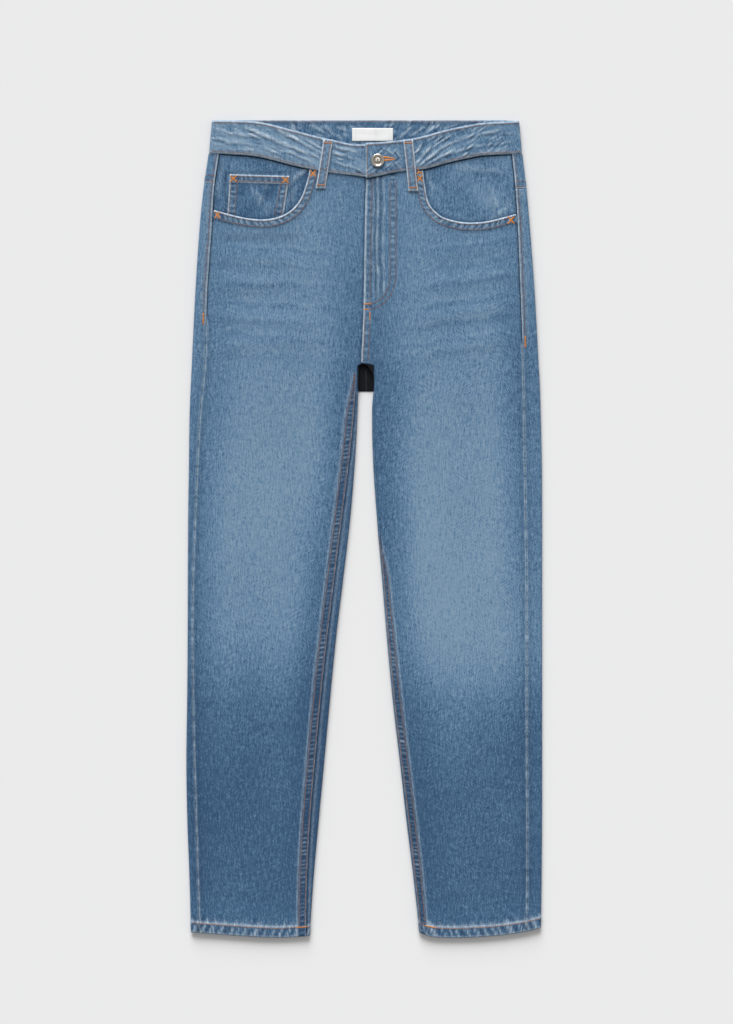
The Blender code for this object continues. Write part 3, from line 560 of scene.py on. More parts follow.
def fly_relief(out, y):
    """The lapped edge, the fly's pressed fold and the shade beside them, on the left front."""
    edge = out - centre_front(LEFT, y)
    upper = smooth_step(CROTCH_TOP - 3, CROTCH_TOP + 1, y)
    fly = upper * smooth_step(268, 300, y)
    ripple = puckers(y, 9.5, 71)
    strip = bump(edge, 3.4, 8.2, 1.6) * upper
    fold_x = FLY_FOLD_X + 0.9 * wander(y, 120, 72)
    streak = 0.7 + 0.45 * wander(y, 38, 74)
    lift = 0.25 * line_bump(edge - 1.2, 1.6) * upper + 0.22 * strip * ripple
    from_fold = out - fold_x
    lift = lift + fly * (0.65 * line_bump(from_fold, 2.4) - 0.35 * line_bump(from_fold - 4.4, 2.2))
    worn = 0.86 * line_bump(edge - 0.7, 1.15) * upper + 0.20 * strip * np.maximum(ripple, 0)
    worn = worn + fly * streak * (0.46 * line_bump(from_fold, 1.3) + 0.26 * line_bump(from_fold + 5.2, 1.0))
    worn = worn + fly * (0.7 - 0.45 * wander(y, 31, 75)) * 0.34 * line_bump(from_fold - 7.6, 1.3)
    shade_and_unworn_dye = 0.20 * strip * np.maximum(-ripple, 0) + 0.16 * bump(edge, 2.6, 9.0, 2.0) * fly
    shade_and_unworn_dye = shade_and_unworn_dye + fly * (0.50 * line_bump(from_fold + 2.6, 1.3) + 0.40 * line_bump(from_fold - 4.0, 1.8))
    between_rows = bump(out, FLY_ROWS[0] + 1.4, FLY_ROWS[1] - 1.4, 1.4) * smooth_step(300, 316, y)
    shade_and_unworn_dye = shade_and_unworn_dye + between_rows * (0.14 + 0.26 * puckers(y, 8.0, 73))
    worn = worn + between_rows * 0.30 * np.maximum(-puckers(y, 8.0, 73), 0)
    return lift, worn, shade_and_unworn_dye


# The crotch slot, painted near black as its shadow: how far out the painted shadow reaches on each side
SLOT_REACH = {RIGHT: 10.2, LEFT: 9.4}


def slot_shade(side, out, y):
    """Painted near-black shadow where the legs part, soft at its edges."""
    return (1 - smooth_step(SLOT_REACH[side] - 1.4, SLOT_REACH[side] + 2.0, out)) * bump(y, 172, 201, 3.4)


def front_look(side, out, y):
    """Relief and finish of a front."""
    strips = [inseam_edge(side, out, y), hem_strip(side, out, y), outseam_edge(side, out, y)]
    if side == LEFT:
        strips.append(fly_relief(out, y))
    lift, worn, shade_and_unworn_dye = (sum(part) for part in zip(*strips))
    lift = lift + 0.20 * rolling(side * out, y, 70, 15 + side, 1.6)
    under_band = waist_line(side, out) - y
    # Painted shade under the waistband's edge, fading below it.
    shade_and_unworn_dye = shade_and_unworn_dye + 0.75 * line_bump(under_band - 0.4, 2.4) + 0.18 * line_bump(under_band, 9.0)
    # Painted near-black shadow in the crotch slot.
    shade_and_unworn_dye = shade_and_unworn_dye + 2.2 * slot_shade(side, out, y)
    fade = wash(side, out, y)
    # Painted shadow where the left front's lapped edge lies over the right front.
    if side == RIGHT:
        lap = -centre_front(RIGHT, y)
        shade_and_unworn_dye = shade_and_unworn_dye + 0.60 * line_bump(out + lap, 2.4) * (y > CROTCH_TOP - 2)
    # The inner face is darker; its dark number is painted shade.
    return lift, {"fade": fade, "worn": worn, "shade_and_unworn_dye": shade_and_unworn_dye, "fade_inside": 0.3, "worn_inside": 0.0,
                  "shade_and_unworn_dye_inside": 0.5}


# %% [markdown]
# ## The pocket mouth
# The mouth is one curve, from the waistband down and round to the outseam. A signed distance from it
# tells, for every point of the front, how far it is from the rim. The front's grid stops short of the
# rim, and a finer strip that follows the curve closes it: a rolled rim and two rows of stitches with
# puckers between them.

# %% Distance from a pocket mouth
MOUTH_CUT = 4.5
MOUTH_STRIP = 12.0


def resampled(line, step):
    """The same line with points a step apart."""
    line = np.asarray(line, float)
    lengths = np.concatenate([[0.0], np.cumsum(np.linalg.norm(np.diff(line, axis=0), axis=1))])
    marks = np.linspace(0.0, lengths[-1], max(int(round(lengths[-1] / step)), 1) + 1)
    return np.stack([np.interp(marks, lengths, line[:, n]) for n in range(line.shape[1])], axis=1)


def mouth_line(side, step):
    table = [(n, out, y) for n, (out, y) in enumerate(POCKET_MOUTHS[side])]
    place = np.linspace(0, len(table) - 1, 400)
    return resampled(np.stack([along(table, place, 1), along(table, place, 2)], axis=1), step)


def line_sides(line):
    """For each point of a line in (out, y), the unit normal on its right-hand side."""
    ahead = np.gradient(line, axis=0)
    ahead = ahead / np.linalg.norm(ahead, axis=1, keepdims=True)
    return np.stack([ahead[:, 1], -ahead[:, 0]], axis=1)


def from_mouth(side, out, y):
    """Distance from the mouth's rim: above 0 on the front's cloth, below 0 in the opening."""
    line = mouth_line(side, 1.0)
    away = line_sides(line)
    result = np.full(out.shape, 99.0)
    near = y > 350
    points = np.stack([out[near], y[near]], axis=1)
    gaps = points[:, None, :] - line[None, :, :]
    best = np.argmin((gaps ** 2).sum(axis=2), axis=1)
    pick = np.arange(len(points))
    signed = (gaps[pick, best] * away[best]).sum(axis=1)
    result[near] = np.where(signed >= 0, 1, -1) * np.sqrt((gaps[pick, best] ** 2).sum(axis=1))
    return result


# %% Build the fronts
def front_columns():
    """Shares from the outseam to the inner edge, close together near both."""
    near_outseam = np.arange(0, 15, 1.2)
    middle = np.arange(15, 142, 2.8)
    near_inner = np.arange(142, 180.1, 1.52)
    return np.concatenate([near_outseam, middle, near_inner]) / 180.0


def front_grid(side):
    """Distance out and y of every point of a front, from the waistband to the hem."""
    shares = front_columns()
    levels = np.concatenate([
        np.linspace(420, CROTCH_TOP, 95), np.linspace(200, WEB_END, 15),
        np.linspace(WEB_END - NOTCH, HEM_TOP + 2, 285), np.linspace(HEM_TOP + 1, HEM_LEVEL, 10),
    ])
    outer = leg_edge(side, levels, OUTSEAM) - HALF_GAP
    inner = front_inner_edge(side, levels)
    out = outer[:, None] + (inner - outer)[:, None] * shares
    y = np.repeat(levels[:, None], len(shares), axis=1)
    near_lap = 1 - smooth_step(LAP_WAIST_GAP_FROM, LAP_WAIST_GAP_TO, out[0])
    top = waist_line(side, out[0]) - HALF_GAP - LAP_WAIST_GAP * near_lap
    rise = np.linspace(1, 0, 16, endpoint=False)[:, None]
    out = np.concatenate([np.repeat(out[:1], len(rise), axis=0), out])
    return out, np.concatenate([420 + (top - 420) * rise, y])


def front_surface(side, out, y):
    height = front_height(side, out, y)
    if side == LEFT:
        height = height + smooth_step(WEB_END, CROTCH_TOP, y) * lap_height(y, out)
    return height


def add_front(side):
    out, y = front_grid(side)
    base = np.stack([side * out, hem_bend(side, out, y), front_surface(side, out, y)], axis=2)
    lift, looks = front_look(side, out, y)
    rim = from_mouth(side, out, y)
    # Painted shade and unworn dye along the edge of the pocket mouth's strip.
    looks["shade_and_unworn_dye"] = looks["shade_and_unworn_dye"] + 0.35 * line_bump(rim - MOUTH_STRIP, 1.5)
    centre = (rim[:-1, :-1] + rim[1:, :-1] + rim[1:, 1:] + rim[:-1, 1:]) / 4
    doubled = CLOTH + CLOTH * (y < HEM_TOP)
    return cloth_wall(f"front_cloth_{SIDES[side]}", base, side, lift, doubled, looks, centre > MOUTH_CUT)


fronts = {side: add_front(side) for side in (RIGHT, LEFT)}

# %% Build the hemmed pocket mouths
MOUTH_PITCH = 7.4
# Distance from the rim, and how far the strip stands above the front there
MOUTH_PROFILE = (
    (0.0, -0.75), (0.5, -0.05), (1.2, 0.45), (2.2, 0.60), (3.4, 0.42), (5.5, 0.46), (8.0, 0.42),
    (9.6, 0.38), (10.8, 0.12), (12.0, -0.30),
)


def add_mouth_strip(side):
    line = mouth_line(side, 1.3)
    away = line_sides(line)
    shown = (line[:, 1] < waist_line(side, line[:, 0]) - 0.3)
    shown &= line[:, 0] < leg_edge(side, line[:, 1], OUTSEAM) - 0.6
    line, away = line[shown], away[shown]
    reach = np.concatenate([np.linspace(0, 3, 8), np.linspace(3.7, MOUTH_STRIP, 12)])
    out = line[:, :1] + away[:, :1] * reach
    y = line[:, 1:] + away[:, 1:] * reach
    y = np.minimum(y, waist_line(side, out) - 0.3)
    out = np.minimum(out, leg_edge(side, y, OUTSEAM) - 0.5)
    travel = np.arange(len(line))[:, None] * 1.3 + 0.0 * reach
    ripple = puckers(travel + 0.6 * reach, MOUTH_PITCH, 31 + side)
    between = bump(reach, 3.4, 7.8, 1.3)
    lift = along(MOUTH_PROFILE, reach, 1) + 0.36 * between * ripple
    wear = 0.74 + 0.22 * wander(travel, 17, 33 + side)
    worn = 0.92 * line_bump(reach - 0.9, 0.95) * wear + 0.42 * between * np.maximum(ripple, 0)
    # Dark in the puckers' hollows, partly unworn dye and partly painted shade; painted shade along the
    # strip's inner edge and under the waistband.
    shade_and_unworn_dye = 0.50 * between * np.maximum(-ripple, 0) + 0.16 * bump(reach, 2.4, 9.0, 1.0)
    shade_and_unworn_dye = shade_and_unworn_dye + 0.30 * line_bump(reach - 10.6, 1.1)
    shade_and_unworn_dye = shade_and_unworn_dye + 0.7 * line_bump(waist_line(side, out) - y, 2.2)
    fade = wash(side, out, y) - 0.06
    looks = {"fade": fade, "worn": worn + 0 * out, "shade_and_unworn_dye": shade_and_unworn_dye}
    base = np.stack([side * out, y, front_surface(side, out, y)], axis=2)
    return cloth_wall(f"pocket_mouth_hem_{SIDES[side]}", base, side, lift + 0 * out, 1.1, looks)


mouth_hems = {side: add_mouth_strip(side) for side in (RIGHT, LEFT)}

# %% [markdown]
# ## The backs
# A back panel is wider than its front: it lies under the leg and comes round both edges, so its strip
# shows beside each seam. One row of the grid runs from the outseam lip, round the fold, along the
# underside and up again to the inseam. Above the crotch it runs on to the seat seam instead.

# %% Rows of the backs
LIP_COLUMNS, ARC_COLUMNS, FLOOR_COLUMNS = 8, 9, 44
WEB_COLUMN = 12.0


def wrap(side, y, seam_column, fold_column, inward):
    """From a seam lip over the top and round a fold to the underside, for each y of a column."""
    height = fold_height(y)[:, None]
    radius = height / 2
    lip = (leg_edge(side, y, seam_column) + inward * HALF_GAP)[:, None]
    middle = leg_edge(side, y, fold_column)[:, None] - inward * radius
    flat = np.linspace(0, 1, LIP_COLUMNS, endpoint=False)
    turn = np.linspace(0, np.pi, ARC_COLUMNS)
    out = np.concatenate([lip + (middle - lip) * flat, middle + inward * radius * np.sin(turn)], axis=1)
    up = np.concatenate([height + 0 * flat, radius + radius * np.cos(turn)], axis=1)
    return out, up


def back_grid(side):
    """Distance out, y and height of a back panel's outer face."""
    seam = YOKE_SIDE[side] - HALF_GAP
    shares = np.linspace(0, 1, 22, endpoint=False)
    levels = np.concatenate([
        np.linspace(370, WEB_END, 84), np.linspace(WEB_END - NOTCH, HEM_TOP + 2, 270),
        np.linspace(HEM_TOP + 1, HEM_LEVEL, 10),
    ])
    y_wrap = np.concatenate([seam + (370 - seam) * shares, levels])
    out_outer, up_outer = wrap(side, y_wrap, OUTSEAM, OUTER_FOLD, 1)
    out_inner, up_inner = wrap(side, y_wrap, INSEAM, INNER_FOLD, -1)
    out_inner, up_inner = out_inner[:, ::-1], up_inner[:, ::-1]
    hip = (y_wrap >= WEB_END)[:, None]
    to_centre = np.linspace(WEB_COLUMN, HALF_GAP, out_inner.shape[1])[None, :]
    out_inner = np.where(hip, to_centre, out_inner)
    up_inner = np.where(hip, 0.0, up_inner)
    reach, near = out_outer[:, -1:], out_inner[:, :1]
    out_floor = reach + (near - reach) * np.linspace(0, 1, FLOOR_COLUMNS + 2)[1:-1]
    out = np.concatenate([out_outer, out_floor, out_inner], axis=1)
    y = np.repeat(y_wrap[:, None], out.shape[1], axis=1)
    side_end = out_outer[0, -1]
    lower_seam = YOKE_CENTRE + (YOKE_SIDE[side] - YOKE_CENTRE) * np.clip(out / side_end, 0, 1) - HALF_GAP
    floor = np.arange(out.shape[1]) >= out_outer.shape[1]
    ramp = np.concatenate([shares, np.ones(len(levels))])[:, None]
    bent_y = lower_seam + (370 - lower_seam) * ramp
    y = np.where(floor[None, :] & (ramp < 1), bent_y, y)
    up = np.concatenate([up_outer, np.zeros_like(out_floor), up_inner], axis=1)
    up = up + np.where(floor[None, :] & (up == 0), back_raise(side, out, y), 0.0)
    return out, y, up, hip[:, 0]


def wrap_look(side, out, y, up):
    """Relief and finish of a back: its strips on top, its folds and its underside."""
    top = smooth_step(1.0, 2.6, up)
    outer = out > 120
    lip_out = np.where(outer, out - leg_edge(side, y, OUTSEAM), leg_edge(side, y, INSEAM) - out)
    upper = smooth_step(SIDE_TACK[side] - 6, SIDE_TACK[side] + 6, y) * outer
    ripple = puckers(y, 8.2, 81 + side)
    lift = top * upper * (0.40 * line_bump(lip_out - 1.6, 2.2) + 0.18 * ripple * bump(lip_out, 1.0, 6.0, 2.0))
    lift = lift + 0.42 * top * line_bump(lip_out, 2.2) * (1 - upper) * outer
    wear = 0.55 + 0.30 * wander(y, RIDGE_PITCH, 51 + side)
    worn = top * upper * (0.74 * line_bump(lip_out - 0.6, 1.1) + 0.22 * line_bump(lip_out - 6.2, 2.0) * wear)
    worn = worn + top * (1 - upper) * outer * 0.40 * line_bump(lip_out - 0.2, 0.9) * wear
    # Painted shade, with unworn dye in the puckers: beside the seam strips, along the inseam's edge and in
    # the creases underneath.
    shade_and_unworn_dye = top * upper * (0.16 + 0.20 * np.maximum(ripple, 0)) * bump(lip_out, 2.2, 6.0, 2.0)
    shade_and_unworn_dye = shade_and_unworn_dye + top * (1 - upper) * outer * 0.22 * line_bump(lip_out - 4.0, 2.0)
    seam_shown = fell_window(side, y)
    seam_dark = 0.12 + 0.14 * seam_shown + 0.5 * seam_shown * line_bump(lip_out - 0.2, 1.2)
    shade_and_unworn_dye = shade_and_unworn_dye + top * (1 - outer) * seam_dark
    worn = worn + top * (1 - outer) * 0.18 * seam_shown * line_bump(lip_out - 3.4, 1.4)
    fade = np.where(top > 0.5, wash(side, out, y) + 0.06, back_wash(side, out, y))
    hem_lift, hem_worn, hem_deep = hem_strip(side, out, y)
    lift = lift + 0.7 * hem_lift * top
    under = 1 - top
    lift = lift - under * np.maximum(0.0, 0.5 * back_creases(side, out, y))
    worn = worn + hem_worn + under * 0.16 * np.maximum(-back_creases(side, out, y), 0)
    shade_and_unworn_dye = shade_and_unworn_dye + hem_deep + under * 0.22 * np.maximum(back_creases(side, out, y), 0)
    return lift, {"fade": fade, "worn": worn, "shade_and_unworn_dye": shade_and_unworn_dye, "fade_inside": 0.15, "worn_inside": 0.0}


# Creases behind the knees and under the seat: distance out and y of each end, half width
KNEE_CREASES = (
    (190, -18, 70, -44, 8.0), (196, -58, 84, -46, 7.0), (198, -84, 66, -96, 8.5), (180, -120, 60, -104, 7.0),
    (194, -148, 90, -160, 9.0), (196, 176, 60, 158, 9.0), (188, 140, 48, 126, 8.0),
)


def back_creases(side, out, y):
    total = 0.0
    for n, (x_a, y_a, x_b, y_b, half_width) in enumerate(KNEE_CREASES):
        shift = 6 * side * math.sin(n * 2.1)
        total = total + crease(out, y, x_a, y_a + shift, x_b, y_b - shift, half_width, 0.8)
    return total


def back_wash(side, out, y):
    """The seat and the backs of the knees fade, the calves keep their dye."""
    seat = bump(y, 230, 340, 90) * line_bump(out - 105, 75)
    knee = bump(y, -110, -30, 90) * line_bump(out - 125, 70)
    return 0.28 + 0.40 * seat + 0.30 * knee + 0.05 * rolling(side * out, y, 80, 17)


def add_back(side):
    out, y, up, hip = back_grid(side)
    base = np.stack([side * out, hem_bend(side, out, y), up], axis=2)
    lift, looks = wrap_look(side, out, y, up)
    # Painted shadow: the inner face is darkened, to near black in the crotch slot, and the outer face gets
    # the slot's painted shadow too.
    inside_slot_shadow = bump(y, 150, 260, 10) * (1 - smooth_step(14, 26, out))
    looks["shade_and_unworn_dye_inside"] = 0.6 + 1.4 * inside_slot_shadow
    looks["shade_and_unworn_dye"] = looks["shade_and_unworn_dye"] + 2.2 * slot_shade(side, out, y)
    keep = np.ones((out.shape[0] - 1, out.shape[1] - 1), bool)
    crotch_row = int(np.nonzero(hip)[0][-1])
    inner_from = out.shape[1] - LIP_COLUMNS - ARC_COLUMNS
    keep[crotch_row, inner_from:] = False
    around = np.concatenate([np.zeros((out.shape[0], 1)), np.cumsum(
        np.linalg.norm(np.diff(base[..., [0, 2]], axis=1), axis=2), axis=1)], axis=1)
    flat_xy = np.stack([base[:, :1, 0] - side * around, base[..., 1]], axis=2)
    doubled = CLOTH + CLOTH * (y < HEM_TOP)
    name = f"back_cloth_{SIDES[side]}"
    return cloth_wall(name, base, -side, lift, doubled, looks, keep, flat_xy)


backs = {side: add_back(side) for side in (RIGHT, LEFT)}

# %% [markdown]
# ## The felled inseams
# Inside the legs the two cut edges are folded into each other and sewn down with two rows, which makes
# a flat strip four layers thick. It lies on the seam and ripples between its rows. On a laid leg it
# comes round from behind the edge a little below the crotch, so it starts narrow there.

# %% Build the felled inseams
def fell_edge(side, y, edge):
    """Distance out of the strip's near edge (0) or far edge (1)."""
    seam = leg_edge(side, y, INSEAM)
    offset = FELL_FROM_TO[side][edge] - (fell_slide(side, y) if edge else 0.0)
    return np.maximum(seam + offset, leg_edge(side, y, INNER_FOLD) + 1.6)


# Share across the strip, and how far it stands above the cloth there
FELL_PROFILE = ((0.0, -0.5), (0.08, 0.15), (0.2, 0.45), (0.5, 0.50), (0.8, 0.45), (0.92, 0.15), (1.0, -0.5))


def add_fell(side):
    y = np.linspace(FELL_START[side] - 4, HEM_LEVEL + 0.4, 640)[:, None]
    share = np.linspace(0, 1, 15)[None, :]
    near, far = fell_edge(side, y, 0), fell_edge(side, y, 1)
    out = near + (far - near) * share
    height = np.where(out < leg_edge(side, y, INSEAM), fold_height(y), front_surface(side, out, y))
    base = np.stack([side * out, hem_bend(side, out, y + 0 * out), height + 0.1], axis=2)
    ripple = puckers(y + 1.5 * share, FELL_PITCH, 21 + side)
    between = bump(share, 0.28, 0.72, 0.14)
    tone = 0.5 + 0.5 * wander(y, 130, 23 + side)
    lift = along(FELL_PROFILE, share, 1) + 0.30 * between * ripple
    wear = 0.6 + 0.3 * wander(y, 24, 25 + side)
    worn = (0.50 * line_bump(share - 0.06, 0.07) + 0.30 * line_bump(share - 0.95, 0.06)) * wear
    worn = worn + 0.50 * between * np.maximum(ripple, 0) * tone
    # The whole strip is a little darker; the hollows between its rows are darker still, partly unworn dye and
    # partly painted shade.
    shade_and_unworn_dye = 0.22 + 0.50 * between * np.maximum(-ripple, 0) + 0.10 * between
    looks = {"fade": wash(side, out, y) - 0.06, "worn": worn, "shade_and_unworn_dye": shade_and_unworn_dye + 0 * out}
    return cloth_wall(f"inseam_fell_{SIDES[side]}", base, side, lift, 0.5, looks)


fells = {side: add_fell(side) for side in (RIGHT, LEFT)}

# %% [markdown]
# ## The yokes
# A yoke is the wedge between the waistband and the back panel. It turns round the side too, so a short
# piece of it shows on the front between the band and the back panel's strip, with a double row of
# stitches along its lower seam.

# %% Build the yokes
def add_yoke(side):
    share = np.linspace(0, 1, 32)
    lip = leg_edge(side, 440.0, OUTSEAM)
    top_side = float(waist_line(side, lip)) - HALF_GAP
    low_side = YOKE_SIDE[side] + HALF_GAP
    y_wrap = top_side + (low_side - top_side) * share
    out_wrap, up_wrap = wrap(side, y_wrap, OUTSEAM, OUTER_FOLD, 1)
    reach = out_wrap[:, -1:]
    out_floor = reach + (HALF_GAP - reach) * np.linspace(0, 1, 74)[1:]
    out = np.concatenate([out_wrap, out_floor], axis=1)
    span = out / out_wrap[-1, -1]
    low = YOKE_CENTRE + (YOKE_SIDE[side] - YOKE_CENTRE) * np.clip(span, 0, 1) + HALF_GAP
    top_floor = top_side + (BACK_BAND_BOTTOM - HALF_GAP - top_side) * (1 - smooth_step(166, 186, out))
    on_top = np.arange(out.shape[1]) < LIP_COLUMNS
    top = np.where(on_top[None, :], waist_line(side, out) - HALF_GAP, top_floor)
    low = np.where((np.arange(out.shape[1]) < out_wrap.shape[1])[None, :], low_side, low)
    y = top + (low - top) * share[:, None]
    up = np.concatenate([up_wrap, back_raise(side, out_floor, y[:, out_wrap.shape[1]:])], axis=1)
    base = np.stack([side * out, y, up], axis=2)
    lip_out = out - leg_edge(side, y, OUTSEAM)
    shown = smooth_step(1.0, 2.6, up) * (out > 150)
    from_seam = y - low
    ripple = puckers(out + y, 8.0, 91 + side)
    lift = 0.40 * line_bump(lip_out - 1.6, 2.2) * shown + 0.30 * bump(from_seam, 1.2, 9.0, 1.6) * shown
    lift = lift - 0.25 * np.maximum(ripple, 0) * bump(from_seam, 2.4, 7.6, 1.6) * (1 - shown)
    worn = shown * 0.66 * line_bump(lip_out - 0.6, 1.1) + 0.50 * line_bump(from_seam - 0.9, 1.3)
    # Painted shade under the waistband's edge and in the puckers' hollows by the seam.
    shade_and_unworn_dye = 0.7 * line_bump(waist_line(side, out) - y, 2.6) * shown
    shade_and_unworn_dye = shade_and_unworn_dye + 0.30 * bump(from_seam, 2.4, 8.0, 1.6) * np.maximum(ripple, 0)
    looks = {"fade": np.where(shown > 0.5, 0.50, 0.52), "worn": worn, "shade_and_unworn_dye": shade_and_unworn_dye,
             "fade_inside": 0.2, "worn_inside": 0.0, "shade_and_unworn_dye_inside": 0.5}
    return cloth_wall(f"yoke_cloth_{SIDES[side]}", base, -side, lift, CLOTH, looks)


yokes = {side: add_yoke(side) for side in (RIGHT, LEFT)}

# %% [markdown]
# ## The facings and the coin pocket
# Inside each pocket mouth shows the facing, a plain piece of the same denim that kept more of its
# dye because it rubs less. The coin pocket is sewn on the right one: a hemmed top edge, double rows
# round it and tacks at its top corners.

# %% Build the facings
# Soft pulls in the facings: distance out and y of each end, half width, height
FACING_PULLS = {
    RIGHT: ((64, 446, 96, 424, 2.4, 0.45), (72, 440, 108, 408, 2.8, 0.40), (80, 430, 96, 396, 2.6, 0.35),
            (174, 452, 182, 400, 3.0, 0.25)),
    LEFT: ((176, 396, 142, 372, 2.6, 0.35), (150, 420, 166, 380, 3.0, 0.30), (70, 446, 84, 410, 2.4, 0.30),
           (110, 442, 176, 436, 4.0, 0.25)),
}


def pulls(table, x, y, narrow=1.0):
    return sum(rise * crease(x, y, x_a, y_a, x_b, y_b, narrow * width, 0.8)
               for x_a, y_a, x_b, y_b, width, rise in table)


def add_facing(side):
    share = np.linspace(1, 0, 50)[:, None]
    t = np.concatenate([np.linspace(0, 0.12, 12, endpoint=False), np.linspace(0.12, 1, 52)])[None, :]
    level = FACING_BOTTOM + (BACK_BAND_BOTTOM - FACING_BOTTOM) * share
    seam = leg_edge(side, level, OUTSEAM) - FACING_GAP
    out = seam + (FACING_INNER - seam) * t
    y = FACING_BOTTOM + (waist_line(side, out) - FACING_WAIST_GAP - FACING_BOTTOM) * share
    base = np.stack([side * out, y, facing_height(side, out, y)], axis=2)
    pulled = pulls(FACING_PULLS[side], out, y)
    rim = from_mouth(side, out, y)
    fade = np.where(side == LEFT, 0.52, 0.40) - 0.10 * smooth_step(120, 80, out) + 0 * y
    fade = fade + 0.12 * rolling(side * out, y, 46, 61 + side)
    # Painted shade under the waistband, along the mouth's rim and the outseam, in the pulls' hollows and
    # round the coin pocket's edge.
    shade_and_unworn_dye = 0.55 * line_bump(waist_line(side, out) - y, 3.6) + 0.50 * line_bump(rim, 3.2)
    shade_and_unworn_dye = shade_and_unworn_dye + 0.60 * line_bump(leg_edge(side, y, OUTSEAM) - out, 2.0) + 0.5 * np.maximum(-pulled, 0)
    if side == RIGHT:
        coin_edge = np.minimum(np.minimum(out - COIN_INNER[0], COIN_OUTER[1] - out), COIN_TOP[0] + 1 - y)
        shade_and_unworn_dye = shade_and_unworn_dye + 0.45 * line_bump(coin_edge + 1.2, 1.8)
    looks = {"fade": fade, "worn": 0.5 * np.maximum(pulled, 0), "shade_and_unworn_dye": shade_and_unworn_dye}
    return cloth_wall(f"facing_cloth_{SIDES[side]}", base, side, pulled, CLOTH, looks)


facings = {side: add_facing(side) for side in (RIGHT, LEFT)}

# %% Build the coin pocket
COIN_LAYER = 1.5
COIN_HEM = 9.0
COIN_SIDE_ROWS = (2.2, 9.4)
COIN_PULLS = ((140, 418, 112, 384, 4.0, 0.4), (120, 424, 134, 390, 3.4, 0.3))


def add_coin_pocket():
    share = np.linspace(0, 1, 46)[:, None]
    t = np.linspace(0, 1, 56)[None, :]
    outer = COIN_OUTER[0] + (COIN_OUTER[1] - COIN_OUTER[0]) * share
    inner = COIN_INNER[0] + (COIN_INNER[1] - COIN_INNER[0]) * share
    out = outer + (inner - outer) * t
    top = COIN_TOP[0] + (COIN_TOP[1] - COIN_TOP[0]) * t
    y = top + (COIN_BOTTOM - top) * share
    base = np.stack([-out, y, facing_height(RIGHT, out, y) + COIN_LAYER], axis=2)
    down = top - y
    edge = np.minimum(outer - out, out - inner)
    hem = bump(down, 0.6, COIN_HEM, 1.2)
    ripple_top = puckers(out, 7.6, 101) * bump(down, 2.4, 7.0, 1.4) * bump(edge, 9.0, 80, 2)
    ripple_side = puckers(y, 7.6, 103) * bump(edge, 3.4, 8.4, 1.4) * smooth_step(8, 12, down)
    ripple = ripple_top + ripple_side
    pulled = pulls(COIN_PULLS, out, y)
    lift = 0.34 * hem + 0.22 * bump(edge, 0.5, 10.5, 1.2) + 0.26 * ripple + pulled
    lift = lift - 0.7 * line_bump(edge, 0.9) - 0.6 * line_bump(down, 0.9)
    worn = 0.80 * line_bump(edge - 0.7, 1.1) + 0.80 * line_bump(down - 0.7, 1.1)
    worn = worn + 0.62 * line_bump(down - COIN_HEM, 0.9) + 0.30 * np.maximum(ripple, 0)
    worn = worn + 0.3 * np.maximum(pulled, 0)
    # Painted shade below the hem's fold, in the puckers' and pulls' hollows and under the mouth's rim; the
    # hem is a little darker overall.
    shade_and_unworn_dye = 0.62 * line_bump(down - COIN_HEM - 2.2, 1.2) + 0.42 * np.maximum(-ripple, 0)
    shade_and_unworn_dye = shade_and_unworn_dye + 0.16 * hem + 0.3 * np.maximum(-pulled, 0) + 0.5 * line_bump(from_mouth(RIGHT, out, y), 3.4)
    looks = {"fade": 0.27 + 0.17 * rolling(out, y, 30, 105), "worn": worn, "shade_and_unworn_dye": shade_and_unworn_dye}
    return cloth_wall("coin_pocket_cloth", base, RIGHT, lift, CLOTH, looks)


coin_pocket = add_coin_pocket()

# %% [markdown]
# ## The waistband
# One long doubled strip goes round the whole waist. Washing shrinks its lining and its cloth
# differently, so it is full of short slanting wrinkles: each ridge wears pale, and the hollow beside
# it is dark, partly unworn dye and partly painted shade. The wrinkles are placed one by one: they slant
# down towards the front on the right side, and fan out from the belt loop on the left side.

# %% Wrinkles of the waistband
# x and y of each end, half width, height
BAND_WRINKLES = (
    (-178, 486, -120, 478, 2.6, 0.42), (-172, 474, -128, 470, 2.2, 0.30), (-150, 492, -104, 474, 2.4, 0.50),
    (-132, 484, -88, 464, 2.0, 0.42), (-112, 490, -76, 472, 2.2, 0.55), (-104, 474, -66, 456, 2.2, 0.60),
    (-90, 480, -60, 462, 1.8, 0.55), (-96, 462, -62, 447, 2.0, 0.50), (-76, 478, -56, 466, 1.7, 0.50),
    (-128, 468, -98, 456, 2.0, 0.34), (-70, 462, -52, 450, 1.8, 0.48), (-44, 470, -20, 462, 2.0, 0.50),
    (-42, 460, -12, 452, 2.0, 0.52), (-40, 450, -14, 440, 2.0, 0.46), (-30, 466, -4, 459, 1.7, 0.40),
    (-24, 446, -4, 438, 1.8, 0.38), (-168, 464, -132, 464, 1.8, 0.26), (-186, 480, -160, 470, 2.2, 0.34),
    (22, 466, 32, 458, 1.6, 0.50), (32, 458, 38, 466, 1.4, 0.46), (36, 464, 44, 452, 1.5, 0.52),
    (24, 442, 36, 450, 1.5, 0.42), (36, 449, 44, 440, 1.4, 0.42), (4, 464, 10, 446, 1.4, 0.30),
    (62, 448, 82, 470, 2.2, 0.66), (64, 444, 98, 470, 2.2, 0.60), (70, 444, 112, 466, 2.0, 0.50),
    (60, 458, 70, 474, 1.8, 0.52), (84, 470, 106, 482, 2.0, 0.52), (76, 452, 92, 462, 1.6, 0.40),
    (98, 470, 136, 482, 2.0, 0.40), (92, 456, 134, 468, 2.2, 0.38), (110, 478, 178, 490, 2.4, 0.34),
    (118, 466, 184, 474, 2.4, 0.30), (126, 458, 182, 463, 2.0, 0.24), (140, 484, 186, 484, 2.0, 0.24),
)
